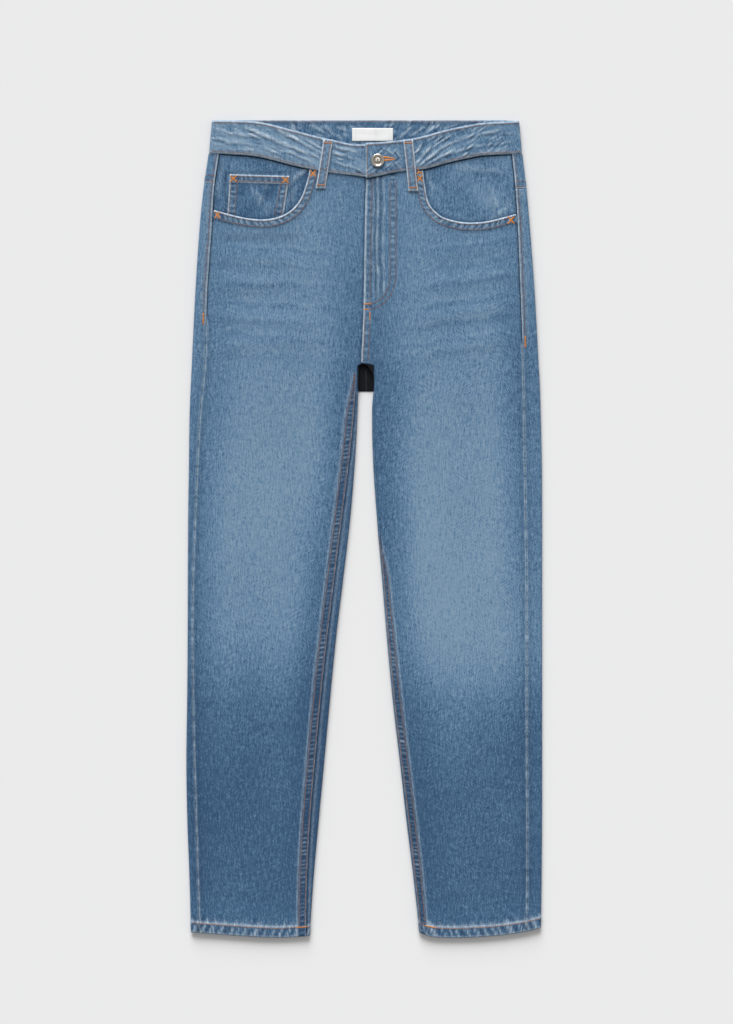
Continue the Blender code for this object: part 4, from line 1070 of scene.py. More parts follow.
# Slanting pulls on the inside of the back of the band
INSIDE_WRINKLES = (
    (-96, 494, -82, 484, 2.0, 0.4), (-70, 496, -48, 484, 2.4, 0.5), (-52, 494, -36, 480, 2.0, 0.5),
    (-34, 492, -22, 478, 2.2, 0.4), (40, 478, 58, 494, 2.2, 0.5), (54, 480, 74, 494, 2.0, 0.5),
    (72, 484, 92, 496, 2.2, 0.4), (92, 488, 118, 497, 2.0, 0.3),
)
BAND_STITCH_INSET = 2.7
BAND_WIDTH = 38.5
BAND_START = {RIGHT: -27.0, LEFT: -0.7}


def band_sections():
    """Points of the band's outer face: the right front, round the right fold, the back, the left."""
    share = np.linspace(0, 1, 25)[:, None]
    parts = []
    arc = np.linspace(0, np.pi, 10)[None, :]
    radius = BAND_HEIGHT / 2
    for side in (RIGHT, LEFT):
        top_out, low_out = BAND_FOLD_OUT[side]
        fold_out = top_out + (low_out - top_out) * share
        middle = fold_out - radius
        start = BAND_START[side]
        out = start + (middle - start) * np.linspace(0, 1, 110, endpoint=False)[None, :]
        top = along(FRONT_BAND[side], out, BAND_TOP)
        bottom = waist_line(side, out) + HALF_GAP
        height = BAND_HEIGHT + 0 * out
        if side == LEFT:
            height = height + OVERLAP_STEP * (1 - smooth_step(OVERLAP_FULL, OVERLAP_END, out))
        front = np.stack([side * out, top + (bottom - top) * share, height], axis=2)
        side_top = along(FRONT_BAND[side], fold_out, BAND_TOP)
        side_low = waist_line(side, fold_out) + HALF_GAP
        side_y = side_top + (side_low - side_top) * share + 0 * arc
        fold_up = radius + radius * np.cos(arc) + 0 * share
        fold = np.stack([side * (middle + radius * np.sin(arc)), side_y, fold_up], axis=2)
        parts.append(np.concatenate([front, fold], axis=1))
    right, left = parts
    x_from, x_to = right[:, -1:, 0], left[:, -1:, 0]
    x = x_from + (x_to - x_from) * np.linspace(0, 1, 152)[None, 1:-1]
    near_side = smooth_step(166, 186, np.abs(x))
    y_back = BACK_BAND_TOP + (BACK_BAND_BOTTOM + HALF_GAP - BACK_BAND_TOP) * share
    y_side = np.where(x < 0, right[:, -1:, 1], left[:, -1:, 1])
    y = y_back + (y_side - y_back) * near_side
    back = np.stack([x, y, back_raise(LEFT, x, y)], axis=2)
    return np.concatenate([right, back, left[:, ::-1]], axis=1), share


def slanted(x, y, angle, pitch, seed):
    """Fine short wrinkles along a direction, from about -1 to 1, in loose groups."""
    ahead = x * np.cos(angle) + y * np.sin(angle)
    across = y * np.cos(angle) - x * np.sin(angle)
    waves = rolling(0.2 * ahead, across, pitch, seed)
    groups = smooth_step(-0.5, 0.7, rolling(ahead, across, 34, seed + 1))
    return np.sign(waves) * np.abs(waves) ** 1.4 * groups


def add_waistband():
    base, share = band_sections()
    x, y, up = base[..., 0], base[..., 1], base[..., 2]
    height = BAND_WIDTH * share + 0 * x
    to_edge = np.minimum(height, BAND_WIDTH - height)
    top = up > 3.0
    start_edge = np.where((x > -1) & top & (up > BAND_HEIGHT + 1), x + 0.7, 99.0)
    shaken = 0.55 * rolling(x, y, 12, 117)
    wrinkles = pulls(BAND_WRINKLES, x + shaken, y + shaken, 0.74) * (1 + 0.35 * rolling(x, y, 16, 118))
    slant = np.where(x < 0, -0.42, 0.62)
    wrinkles = (wrinkles + 0.42 * slanted(x, y, slant, 4.6, 120)) * top
    mass = bump(to_edge, 4.4, 40, 3.0)
    wrinkles = wrinkles * (0.35 + 0.65 * mass)
    cumulative = np.linalg.norm(np.diff(base, axis=1), axis=2).cumsum(axis=1)
    travel = np.concatenate([np.zeros((base.shape[0], 1)), cumulative], axis=1)
    ripple = puckers(travel + 0.7 * height, 9.0, 111) * bump(to_edge, 0.8, 5.0, 2.4)
    lift = 1.0 * wrinkles + 0.16 * ripple + 0.25 * line_bump(to_edge - 1.4, 1.6)
    edge = np.minimum(to_edge, start_edge)
    lift = lift - 0.8 * line_bump(edge, 0.8)
    lift = np.where(top, lift, np.minimum(lift, 0.0) * 0.5)
    wear = 0.76 + 0.2 * wander(travel, 23, 119)
    worn = 0.82 * line_bump(edge - 0.8, 1.05) * wear + 1.05 * np.maximum(wrinkles, 0)
    worn = worn + 0.18 * np.maximum(ripple, 0)
    # Dark in the wrinkles' hollows, partly unworn dye and partly painted shade, and a painted shade line
    # beside the raised edge.
    shade_and_unworn_dye = 1.05 * np.maximum(-wrinkles, 0) + 0.30 * line_bump(to_edge - 4.0, 1.1)
    shade_and_unworn_dye = shade_and_unworn_dye + 0.20 * np.maximum(-ripple, 0)
    fade = np.where(x < -45, 0.82, np.where(x < 0, 0.66, 0.54)) + 0.16 * rolling(x, y, 34, 113, 0.6)
    inner_slant = np.where(x < 0, -0.7, 0.8)
    inside = (pulls(INSIDE_WRINKLES, x, y, 0.8) + 0.5 * slanted(x, y, inner_slant, 4.6, 122)) * ~top
    # On the inside of the back, the wrinkles' hollows are dark as well, partly unworn dye and partly painted
    # shade.
    looks = {"fade": np.where(top, fade, 0.6), "worn": worn, "shade_and_unworn_dye": shade_and_unworn_dye,
             "fade_inside": 0.36 + 0.20 * rolling(x, y, 26, 115, 0.5),
             "worn_inside": 0.9 * np.maximum(inside, 0) + 0.35 * line_bump(height - 0.8, 1.0),
             "shade_and_unworn_dye_inside": 0.9 * np.maximum(-inside, 0) + 0.22 * line_bump(height - 4.2, 1.4)}
    flat_xy = np.stack([travel, -height], axis=2)
    return cloth_wall("waistband_cloth", base, 1, lift, DOUBLE_CLOTH, looks, None, flat_xy)


waistband = add_waistband()

# %% [markdown]
# ## Belt loops, back pockets and label
# A belt loop is a folded strip with a stitch row near each long edge, so its edges stand up and wear
# pale while the trough between is darker, partly kept dye and partly painted shade. The back pockets lie
# under the seat: plain patches, double stitched, with no design on them. The label is a bare woven tab.

# %% Build the belt loops
def loop_grid(x_top, y_top, x_low, y_low, height_at, columns=17, rows=44):
    t = np.linspace(0, 1, rows)[:, None]
    across = np.linspace(-LOOP_WIDTH / 2, LOOP_WIDTH / 2, columns)[None, :]
    x = x_top + (x_low - x_top) * t + across
    y = y_top + (y_low - y_top) * t + 0 * across
    return np.stack([x, y, height_at(t) + 0 * across], axis=2), across + 0 * t, t + 0 * across


def loop_relief(across, t, length, seed):
    edge = LOOP_WIDTH / 2 - np.abs(across)
    end = np.minimum(t, 1 - t) * length
    ripple = puckers(t * length + 0.6 * across, 7.0, seed)
    lift = 0.36 * bump(edge, 0.7, 3.2, 1.2) - 0.8 * line_bump(edge, 0.7) - 0.5 * line_bump(end, 0.9)
    lift = lift + 0.16 * ripple * bump(edge, 1.5, 4, 1.0)
    worn = 0.85 * line_bump(edge - 0.7, 1.0) + 0.55 * line_bump(end - 0.6, 1.2)
    worn = worn + 0.22 * np.maximum(ripple, 0) * bump(edge, 2.6, 5, 1.0)
    # Painted shade beside the raised edges, with darker hollows in the puckers.
    shade_and_unworn_dye = 0.30 * line_bump(edge - 4.0, 0.9) + 0.12 * np.maximum(-ripple, 0)
    return lift, {"fade": 0.74 + 0.1 * wander(t * length, 19, seed), "worn": worn, "shade_and_unworn_dye": shade_and_unworn_dye}


def add_front_loop(side):
    x_top, y_top, x_low, y_low = FRONT_LOOPS[side]
    on_band = BAND_HEIGHT + 0.3
    on_front = float(front_height(side, abs(x_low), y_low)) + 0.3

    def height_at(t):
        ground = on_band + (on_front - on_band) * smooth_step(0.8, 0.9, t)
        return ground + along(LOOP_ARCH, t, 1) + LOOP_THICKNESS

    base, across, t = loop_grid(x_top, y_top, x_low, y_low, height_at)
    lift, looks = loop_relief(across, t, y_top - y_low, 121 + side)
    return cloth_wall(f"front_loop_cloth_{SIDES[side]}", base, -1, lift, LOOP_THICKNESS, looks)


def add_back_loop(name, x):
    base, across, t = loop_grid(x, BACK_LOOP_TOP, x, BACK_LOOP_BOTTOM, lambda t: 0 * t)
    _, looks = loop_relief(across, t, BACK_LOOP_TOP - BACK_LOOP_BOTTOM, 131)
    edge = LOOP_WIDTH / 2 - np.abs(across)
    lift = -0.35 * line_bump(edge, 0.7) - 0.12 * bump(edge, 3.6, 9, 0.9)
    return cloth_wall(f"back_loop_cloth_{name}", base, 1, lift, BACK_LOOP_THICKNESS, looks)


front_loops = {side: add_front_loop(side) for side in (RIGHT, LEFT)}
back_loops = {name: add_back_loop(name, x) for name, x in BACK_LOOPS.items()}

# %% Build the back pockets
def inside_polygon_edge(x, y, corners):
    """Distance inward from the nearest side of a polygon whose corners go round it."""
    nearest = np.full(x.shape, 1e3)
    for (x_a, y_a), (x_b, y_b) in zip(corners, corners[1:] + corners[:1]):
        length = math.hypot(x_b - x_a, y_b - y_a)
        inward = ((x_b - x_a) * (y - y_a) - (y_b - y_a) * (x - x_a)) / length
        nearest = np.minimum(nearest, np.abs(inward))
    return nearest


def add_back_pocket(side):
    """A grid between the pocket's straight sides, its lower edge running down to the point."""
    t = np.linspace(0, 1, 72)[None, :]
    share = np.linspace(0, 1, 60)[:, None]
    (in_top, y_in), (out_top, y_out), (out_low, y_out_low), (point, y_point), (in_low, y_in_low) = BACK_POCKET
    top_out = in_top + (out_top - in_top) * t
    top_y = y_in + (y_out - y_in) * t
    low_out = in_low + (out_low - in_low) * t
    turn = (point - in_low) / (out_low - in_low)
    low_y = np.where(t < turn, y_in_low + (y_point - y_in_low) * t / turn,
                     y_point + (y_out_low - y_point) * (t - turn) / (1 - turn))
    out = top_out + (low_out - top_out) * share
    y = top_y + (low_y - top_y) * share
    base = np.stack([side * out, y, 0 * out], axis=2)
    edge = inside_polygon_edge(out, y, list(BACK_POCKET))
    ripple = puckers(out + y, 8.2, 141 + side) * bump(edge, 2.6, 7.2, 1.4)
    lift = -0.35 * line_bump(edge, 0.8) - 0.15 * np.maximum(ripple, 0) - 0.12 * bump(edge, 10, 200, 2)
    worn = 0.80 * line_bump(edge - 0.8, 1.2) + 0.30 * np.maximum(-ripple, 0)
    # Darker in the puckers' hollows, partly unworn dye and partly painted shade.
    shade_and_unworn_dye = 0.35 * np.maximum(ripple, 0)
    fade = back_wash(side, out, y) + 0.10
    looks = {"fade": fade, "worn": worn, "shade_and_unworn_dye": shade_and_unworn_dye, "fade_inside": 0.2, "worn_inside": 0.0}
    return cloth_wall(f"back_pocket_cloth_{SIDES[side]}", base, -side, lift, BACK_POCKET_THICKNESS, looks)


back_pockets = {side: add_back_pocket(side) for side in (RIGHT, LEFT)}

# %% Build the label
def add_label():
    x_from, x_to, y_from, y_to = LABEL
    t = np.linspace(0, 1, 52)[None, :]
    share = np.linspace(0, 1, 20)[:, None]
    x = x_from + (x_to - x_from) * t + 0 * share
    y = y_to + (y_from - y_to) * share + 0 * t
    up = DOUBLE_CLOTH + back_raise(LEFT, x, y) + 0.3 + LABEL_THICKNESS
    base = np.stack([x, y, up], axis=2)
    end = np.minimum(x - x_from, x_to - x)
    edge = np.minimum(y - y_from, y_to - y)
    lift = 0.30 * bump(end, 0.8, 3.6, 0.8) + 0.18 * rolling(x, y, 17, 151) + 0.1
    lift = lift - 0.25 * line_bump(edge, 0.5)
    # Painted shade: a grey line just inside each raised end.
    looks = {"fade": 0.5, "worn": 0.4 * line_bump(edge, 0.9), "shade_and_unworn_dye": 0.4 * line_bump(end - 4.4, 0.7)}
    return cloth_wall("label_cloth", base, -1, lift, LABEL_THICKNESS, looks)


label = add_label()

# %% [markdown]
# ## The shank button
# A jeans button is a stamped cap on a tack. The cap is one polar grid: a rolled rim, a beaded ring, a
# dished field and a small raised rosette in the middle, which is a plain ornament. Antique finishes
# stay dark in the hollows, so the grid also stores how deep each point lies.

# %% Build the button
BUTTON_FOOT = BAND_HEIGHT + OVERLAP_STEP + 0.3
BUTTON_RADIUS = 8.3
# Radius, height above the foot
BUTTON_CAP = (
    (0.0, 2.55), (1.6, 2.50), (2.7, 2.35), (3.3, 1.95), (4.4, 1.90), (5.2, 2.05), (5.9, 2.45), (6.7, 2.75),
    (7.4, 2.70), (8.0, 2.25), (8.3, 1.70),
)
BUTTON_UNDER = ((7.9, 1.15), (7.2, 0.85), (5.6, 0.55), (4.6, 0.30), (4.5, 0.0), (0.0, 0.0))


def add_button():
    turns = 96
    angle = np.linspace(0, 2 * np.pi, turns, endpoint=False)[None, :]
    radius = np.linspace(0.02, BUTTON_RADIUS, 34)[:, None]
    height = along(BUTTON_CAP, radius, 1) + 0 * angle
    rosette = 0.32 * bump(radius, 0.9, 2.5, 0.5) * np.cos(5 * angle) ** 2
    middle = 0.35 * np.exp(-((radius / 0.6) ** 2))
    beads = 0.20 * line_bump(radius - 4.9, 0.45) * np.cos(21 * angle) ** 2
    notches = -0.10 * line_bump(radius - 7.0, 0.7) * np.cos(30 * angle) ** 2
    height = height + rosette + middle + beads + notches
    hollow = 0.5 * bump(radius, 3.0, 5.4, 0.5) * (1 - 4.0 * beads) + 0.45 * (1 - 3 * rosette) * (radius < 2.6)
    cap = np.stack([radius * np.cos(angle), radius * np.sin(angle), height], axis=2)
    under = np.stack([np.stack([r * np.cos(angle[0]), r * np.sin(angle[0]), up + 0 * angle[0]], axis=1)
                      for r, up in ((max(r, 0.02), up) for r, up in BUTTON_UNDER)])
    grid = np.concatenate([cap, under]) + (BUTTON[0], BUTTON[1], BUTTON_FOOT)
    rings = grid.shape[0]
    index = np.arange(rings * turns).reshape(rings, turns)
    ahead = np.roll(index, -1, axis=1)
    quads = np.stack([index[:-1], index[1:], ahead[1:], ahead[:-1]], axis=-1).reshape(-1, 4)
    caps = [list(index[0]), list(index[-1][::-1])]
    made = mesh_object("button_cap", world(grid.reshape(-1, 3)).tolist(), quads.tolist() + caps)
    patina = np.concatenate([(hollow + 0 * angle).ravel(), np.full(under.shape[0] * turns, 0.7)])
    set_numbers(made, "patina", patina)
    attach(made, BODY)
    print("button:", len(quads), "faces")
    return made


button = add_button()

# %% [markdown]
# ## Sewing
# Every stitch is a short length of thread that dips into the cloth at both ends. A row is drawn in the
# plan, and each stitch is then dropped on the cloth below it with a ray, so it always lies on what
# carries it. Tacks are satin bars: many short stitches side by side across a line.

# %% A row of stitches
STITCH_PITCH = 3.1
STITCH_LENGTH = 2.5
THREAD_WIDTH, UNDER_THREAD, TACK_THREAD, LABEL_THREAD = 1.3, 1.3 * 0.8, 0.9, 0.5


def cloth_tree(objects):
    """One search tree over the faces of several pieces."""
    points, faces, start = [], [], 0
    for piece in objects:
        mesh = piece.data
        flat = np.empty(len(mesh.vertices) * 3)
        mesh.vertices.foreach_get("co", flat)
        points += flat.reshape(-1, 3).tolist()
        faces += [tuple(start + v for v in polygon.vertices) for polygon in mesh.polygons]
        start = len(points)
    return BVHTree.FromPolygons(points, faces)


def drop(tree, x, y, below):
    """Place and normal of the cloth over or under a point of the plan, in metres."""
    height = -0.05 if below else 0.05
    ray = Vector((0, 0, 1 if below else -1))
    place, normal, _, _ = tree.ray_cast(Vector(((x + OUTLINE_MIDDLE) * MM, y * MM, height)), ray)
    if place is None:
        return None
    return place, normal if normal.z * ray.z < 0 else -normal


def stitch_rings(start, middle, end, normals, width):
    """Four-sided rings at both ends and the middle of one stitch."""
    ahead = (end - start).normalized()
    rings = []
    for place, normal, size, sink in ((start, normals[0], 0.5, -0.25), (middle, normals[1], 1.0, 0.25),
                                      (end, normals[2], 0.5, -0.25)):
        across = ahead.cross(normal).normalized() * (width * size * MM / 2)
        up = normal * (width * size * MM / 2 * 0.8)
        centre = place + normal * (sink * width * MM / 2)
        rings += [centre + up, centre + across, centre - up, centre - across]
    return rings


STITCH_FACES = np.array([
    (0, 1, 5, 4), (1, 2, 6, 5), (2, 3, 7, 6), (3, 0, 4, 7),
    (4, 5, 9, 8), (5, 6, 10, 9), (6, 7, 11, 10), (7, 4, 8, 11),
    (3, 2, 1, 0), (8, 9, 10, 11),
])


def sew(name, segments, tree, width=THREAD_WIDTH, below=False):
    """One piece with a stitch on each segment (x, y, x, y) of the plan."""
    points, faces, shades = [], [], []
    for x_a, y_a, x_b, y_b in segments:
        hits = [drop(tree, x_a + (x_b - x_a) * t, y_a + (y_b - y_a) * t, below) for t in (0.0, 0.5, 1.0)]
        if None in hits or max(abs(hits[n][0].z - hits[1][0].z) for n in (0, 2)) > 1.6 * MM:
            continue
        places, normals = zip(*hits)
        start = len(points)
        points += [tuple(p) for p in stitch_rings(*places, normals, width)]
        faces += (STITCH_FACES + start).tolist()
        shades += [rng.random()] * 12
    made = mesh_object(name, points, faces)
    set_numbers(made, "shade", np.array(shades))
    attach(made, BODY)
    print(name, len(points) // 12, "stitches")
    return made


def row(line, pitch=STITCH_PITCH, length=STITCH_LENGTH):
    """Segments of one straight-stitched row along a line of the plan."""
    marks = resampled(line, pitch)
    share = length / pitch
    ends = marks[:-1] + (marks[1:] - marks[:-1]) * share
    return [(*a, *b) for a, b in zip(marks[:-1], ends)]


def satin(x_a, y_a, x_b, y_b, width, pitch=0.62):
    """Segments of a satin bar: short stitches across the line from a to b."""
    marks = resampled([(x_a, y_a), (x_b, y_b)], pitch)
    ahead = np.array([x_b - x_a, y_b - y_a]) / math.hypot(x_b - x_a, y_b - y_a)
    across = np.array([-ahead[1], ahead[0]]) * width / 2
    slant = ahead * 0.25
    return [(*(m - across - slant), *(m + across + slant)) for m in marks]


def cross_tack(x, y, half_x, half_y, width=2.1):
    return satin(x - half_x, y - half_y, x + half_x, y + half_y, width) + satin(
        x - half_x, y + half_y, x + half_x, y - half_y, width)


cloth_pieces = []
for pieces in (fronts, mouth_hems, fells, backs, yokes, facings, front_loops, back_loops, back_pockets):
    cloth_pieces += pieces.values()
cloth_pieces += [coin_pocket, waistband, label]
tree = cloth_tree(cloth_pieces)
print("search tree over", len(cloth_pieces), "pieces")

# %% [markdown]
# ## Where the rows run
# The rows follow the photo: brown thread for all the long rows, and orange for the tacks, the belt
# loops' bars and the buttonhole. Each group of rows is one piece, named for what it holds.

# %% Rows on the legs
def side_line(side, column, inward, y_from, y_to, offset):
    """A line of the plan beside a leg's seam, offset in millimetres towards the inside."""
    y = np.linspace(y_from, y_to, 160)
    out = leg_edge(side, y, column) + inward * offset
    return np.stack([side * out, hem_bend(side, out, y)], axis=1)


def leg_rows(side):
    rows = []
    for edge, inset in ((0, 1.2), (1, -1.5)):
        top = FELL_START[side] - (34 if edge == 0 and side == LEFT else 6)
        y = np.linspace(top, HEM_LEVEL + 14, 220)
        out = fell_edge(side, y, edge) + inset
        line = np.stack([side * out, hem_bend(side, out, y)], axis=1)
        rows += row(line)
    rows += row(side_line(side, OUTSEAM, 1, waist_line(side, 182) - 2, SIDE_TACK[side] - 7, 3.4))
    return rows


def hem_row(side, up=11.6):
    out = np.linspace(66, 216, 90)
    y = along(HEM_EDGES[side], out, 1) + up
    return np.stack([side * out, y], axis=1)


leg_segments = leg_rows(RIGHT) + leg_rows(LEFT)
leg_stitching = sew("leg_stitching", leg_segments, tree)
hem_stitching = sew("hem_stitching", row(hem_row(RIGHT)) + row(hem_row(LEFT)), tree)

# %% Rows on the hips
def yoke_rows(side):
    rows = []
    for up in (3.0, 9.4):
        y = YOKE_SIDE[side] + up
        from_out, to_out = leg_edge(side, y, OUTSEAM) + 1.2, leg_edge(side, y, OUTER_FOLD) - 0.8
        rows += row([(side * from_out, y), (side * to_out, y)])
    return rows


def mouth_rows(side):
    line = mouth_line(side, 1.0)
    away = line_sides(line)
    rows = []
    for offset in (2.4, 9.0):
        path = line + away * offset
        path = path[(path[:, 1] < waist_line(side, path[:, 0]) - 1.5)
                    & (path[:, 0] < leg_edge(side, path[:, 1], OUTSEAM) - 1.5)]
        rows += row(path * (side, 1))
    return rows


def coin_rows():
    rows = []
    for down in (2.2, 8.0):
        rows += row([(-COIN_OUTER[0] + 1.5, COIN_TOP[0] - down), (-COIN_INNER[0] - 1.5, COIN_TOP[1] - down)])
    for inset in COIN_SIDE_ROWS:
        rows += row([(-COIN_OUTER[0] + inset, COIN_TOP[0] - 1.5), (-COIN_OUTER[1] + inset, 383)])
        rows += row([(-COIN_INNER[0] - inset, COIN_TOP[1] - 1.5), (-COIN_INNER[1] - inset, 383)])
    return rows


hip_segments = coin_rows()
for side in (RIGHT, LEFT):
    hip_segments += yoke_rows(side) + mouth_rows(side)
hip_stitching = sew("hip_stitching", hip_segments, tree)

# %% Rows on the fly and the crotch seam
def fly_j(x, turn_y, end_y):
    """One row of the fly's J: straight down, then round towards the lapped edge."""
    down = [(x, y) for y in np.linspace(425, turn_y, 30)]
    end_x = 1.5
    curve = []
    for angle in np.linspace(0, np.pi / 2, 24)[1:]:
        curve.append((end_x + (x - end_x) * np.cos(angle), turn_y - (turn_y - end_y) * np.sin(angle)))
    return down + curve


def lap_row(offset, y_from, y_to):
    y = np.linspace(y_from, y_to, 90)
    return np.stack([centre_front(LEFT, y) + offset, y], axis=1)


fly_segments = row(fly_j(FLY_ROWS[1], FLY_TURN_Y + 6, 268.4)) + row(fly_j(FLY_ROWS[0], FLY_TURN_Y + 2, 275.0))
fly_segments += row(lap_row(7.6, 427, 272)) + row(lap_row(2.4, 262, CROTCH_TOP + 1))
fly_segments += row(lap_row(8.6, 262, CROTCH_TOP + 1))
fly_stitching = sew("fly_stitching", fly_segments, tree)

# %% Rows on the waistband and the loops
def band_row(side, column, inset, start, end):
    out = np.linspace(start, end, 120)
    y = along(FRONT_BAND[side], out, column) + inset
    return np.stack([side * out, y], axis=1)


band_segments = []
for side, start in ((RIGHT, 1.6), (LEFT, 1.8)):
    band_segments += row(band_row(side, BAND_TOP, -BAND_STITCH_INSET, start, 187.0))
    band_segments += row(band_row(side, BAND_BOTTOM, BAND_STITCH_INSET, start, 189.5))
band_segments += row([(1.8, 469.2), (1.8, 431.6)])
band_segments += row([(x, 498.4) for x in np.linspace(-138, 138, 60)])
for side, (x_top, y_top, x_low, y_low) in FRONT_LOOPS.items():
    for across in (-3.7, 3.7):
        band_segments += row([(x_top + across, y_top - 1.0), (x_low + across, y_low + 1.4)])
band_stitching = sew("band_stitching", band_segments, tree)

# %% Rows on the hidden side
under_segments = []
for side in (RIGHT, LEFT):
    for inset in (2.6, 8.4):
        corners = [(36 + inset, 350), (46 + inset, 226 + inset * 0.6), (104, 208 + inset),
                   (161 - inset, 238 + inset * 0.6), (172 - inset, 362)]
        under_segments += row([(side * out, y) for out, y in corners])
    for down in (2.4, 9.0):
        under_segments += row([(side * 38, 350.2 - down), (side * 170, 361.8 - down)])
    for up in (2.6, 9.0):
        under_segments += row([(side * 3, YOKE_CENTRE + up), (side * 190, YOKE_SIDE[side] + up - 1.4)])
    under_segments += row(hem_row(side))
    under_segments += row(side_line(side, INNER_FOLD, 1, 150, HEM_LEVEL + 14, 6.0))
for x in (2.4, 8.6):
    under_segments += row([(x, YOKE_CENTRE - 3), (x, WEB_END + 4)])
for y in (497.4, 464.4):
    under_segments += row([(-184, y), (184, y)])
for x in BACK_LOOPS.values():
    for across in (-3.7, 3.7):
        under_segments += row([(x + across, BACK_LOOP_TOP - 1.5), (x + across, BACK_LOOP_BOTTOM + 1.5)])
under_stitching = sew("underside_stitching", under_segments, tree, UNDER_THREAD, below=True)

# %% Tacks, bars and the buttonhole
tack_segments, loop_tack_segments = [], []
for side in (RIGHT, LEFT):
    seam = float(leg_edge(side, SIDE_TACK[side], OUTSEAM)) + 3.6
    tack_segments += satin(side * seam, SIDE_TACK[side] + 6.5, side * seam, SIDE_TACK[side] - 6.5, 2.2)
    x_top, y_top, x_low, y_low = FRONT_LOOPS[side]
    for t in (0.07, 0.93):
        x = x_top + (x_low - x_top) * t
        y = y_top + (y_low - y_top) * t
        loop_tack_segments += satin(x - 4.8, y, x + 4.8, y, 2.2)
    tack_segments += satin(side * 86, hem_row(side)[12][1], side * 72, hem_row(side)[4][1], 1.6)
# Corners where the pocket mouths meet the band and the outseam, and the coin pocket's corners
for x, y, half_x, half_y in ((-64.8, 434.6, 3.4, 3.6), (-181.6, 384.0, 3.2, 3.8), (65.2, 437.0, 3.0, 3.2),
                             (65.8, 428.6, 3.0, 3.2), (177.4, 377.8, 3.8, 4.2), (-162.2, 428.6, 3.6, 3.4),
                             (-98.4, 426.8, 3.6, 3.4)):
    tack_segments += cross_tack(x, y, half_x, half_y)
tack_segments += satin(-2.6, 275.2, 7.0, 275.2, 1.7) + satin(-2.8, 268.8, 4.6, 268.6, 1.4)
tack_segments += satin(4.9, 265.0, 4.9, 256.0, 1.5)
HOLE_FROM, HOLE_TO, HOLE_Y = 20.5, 35.0, 452.4
for share in np.linspace(0, 1, 24):
    x = HOLE_FROM + (HOLE_TO - HOLE_FROM) * share
    spread = 3.0 * (1 - share) ** 0.7 + 0.6
    tack_segments += [(x, HOLE_Y + up * 0.35, x + 1.0, HOLE_Y + up * spread) for up in (1, -1)]
tack_stitching = sew("tack_stitching", tack_segments, tree, TACK_THREAD)
loop_tack_stitching = sew("loop_tack_stitching", loop_tack_segments, tree, TACK_THREAD)
label_segments = []
for x in (-15.4, 31.4):
    label_segments += row([(x, 475.6), (x, 489.4)], 2.0, 1.6)
label_stitching = sew("label_stitching", label_segments, tree, LABEL_THREAD)

# %% [markdown]
# ## Materials: small tools
# The node trees are built by short functions. A group holds one effect that several materials share,
# with its own named sockets, and every material then sets its own values on it.

# %% Node tools
def srgb(red, green, blue):
    """A colour picked as 0 to 255, as the linear colour a shader needs."""
    channels = (red / 255, green / 255, blue / 255)
    return tuple(((c + 0.055) / 1.055) ** 2.4 if c > 0.04 else c / 12.92 for c in channels) + (1.0,)


def new_group(name, inputs, outputs):
    """An empty shader group with named sockets; a float input is (name, default)."""
    group = bpy.data.node_groups.new(name, "ShaderNodeTree")
    for socket, default in inputs:
        kind = "NodeSocketFloat"
        if isinstance(default, tuple):
            kind = "NodeSocketColor" if len(default) == 4 else "NodeSocketVector"
        made = group.interface.new_socket(name=socket, in_out="INPUT", socket_type=kind)
        made.default_value = default
    for socket, kind in outputs:
        group.interface.new_socket(name=socket, in_out="OUTPUT", socket_type=kind)
    return group, group.nodes.new("NodeGroupInput"), group.nodes.new("NodeGroupOutput")


def feed(tree, socket, source):
    """Links a socket, or sets it where the source is a plain value."""
    if isinstance(source, bpy.types.NodeSocket):
        tree.links.new(source, socket)
    elif source is not None:
        socket.default_value = source


def maths(tree, operation, *sources, clamp=False):
    node = tree.nodes.new("ShaderNodeMath")
    node.operation = operation
    node.use_clamp = clamp
    for socket, source in zip(node.inputs, sources):
        feed(tree, socket, source)
    return node.outputs[0]


def weighted(tree, *terms):
    """The sum of sources, each times its weight."""
    total = maths(tree, "MULTIPLY", *terms[0])
    for source, weight in terms[1:]:
        total = maths(tree, "ADD", total, maths(tree, "MULTIPLY", source, weight))
    return total


def scaled(tree, vector, factors):
    node = tree.nodes.new("ShaderNodeVectorMath")
    node.operation = "MULTIPLY"
    feed(tree, node.inputs[0], vector)
    node.inputs[1].default_value = factors
    return node.outputs[0]


def turned(tree, vector, angle, scale):
    """The vector turned in the plane of the cloth, then scaled."""
    node = tree.nodes.new("ShaderNodeMapping")
    feed(tree, node.inputs["Vector"], vector)
    node.inputs["Rotation"].default_value = (0, 0, math.radians(angle))
    return scaled(tree, node.outputs[0], scale)


def noise(tree, vector, scale, detail=2.0, roughness=0.5):
    node = tree.nodes.new("ShaderNodeTexNoise")
    feed(tree, node.inputs["Vector"], vector)
    node.inputs["Scale"].default_value = scale
    node.inputs["Detail"].default_value = detail
    node.inputs["Roughness"].default_value = roughness
    return node.outputs["Fac"]


def stretched(tree, value, low, high, to_low=0.0, to_high=1.0):
    node = tree.nodes.new("ShaderNodeMapRange")
    feed(tree, node.inputs["Value"], value)
    for name, number in (("From Min", low), ("From Max", high), ("To Min", to_low), ("To Max", to_high)):
        node.inputs[name].default_value = number
    return node.outputs[0]


def mixed(tree, factor, a, b, blend="MIX"):
    node = tree.nodes.new("ShaderNodeMix")
    node.data_type = "RGBA"
    node.blend_type = blend
    feed(tree, node.inputs["Factor"], factor)
    feed(tree, node.inputs[6], a)
    feed(tree, node.inputs[7], b)
    return node.outputs[2]


def attribute(tree, name, output="Fac"):
    node = tree.nodes.new("ShaderNodeAttribute")
    node.attribute_name = name
    return node.outputs[output]


# %% [markdown]
# ## The denim
# Denim is a twill: blue warp threads run along the leg and float over white weft threads, which makes
# fine slanting ribs about two thirds of a millimetre apart. Ring-spun yarn is uneven, so short pale and
# dark flecks run down and across it. Washing then mottles the whole. Each effect is one group.

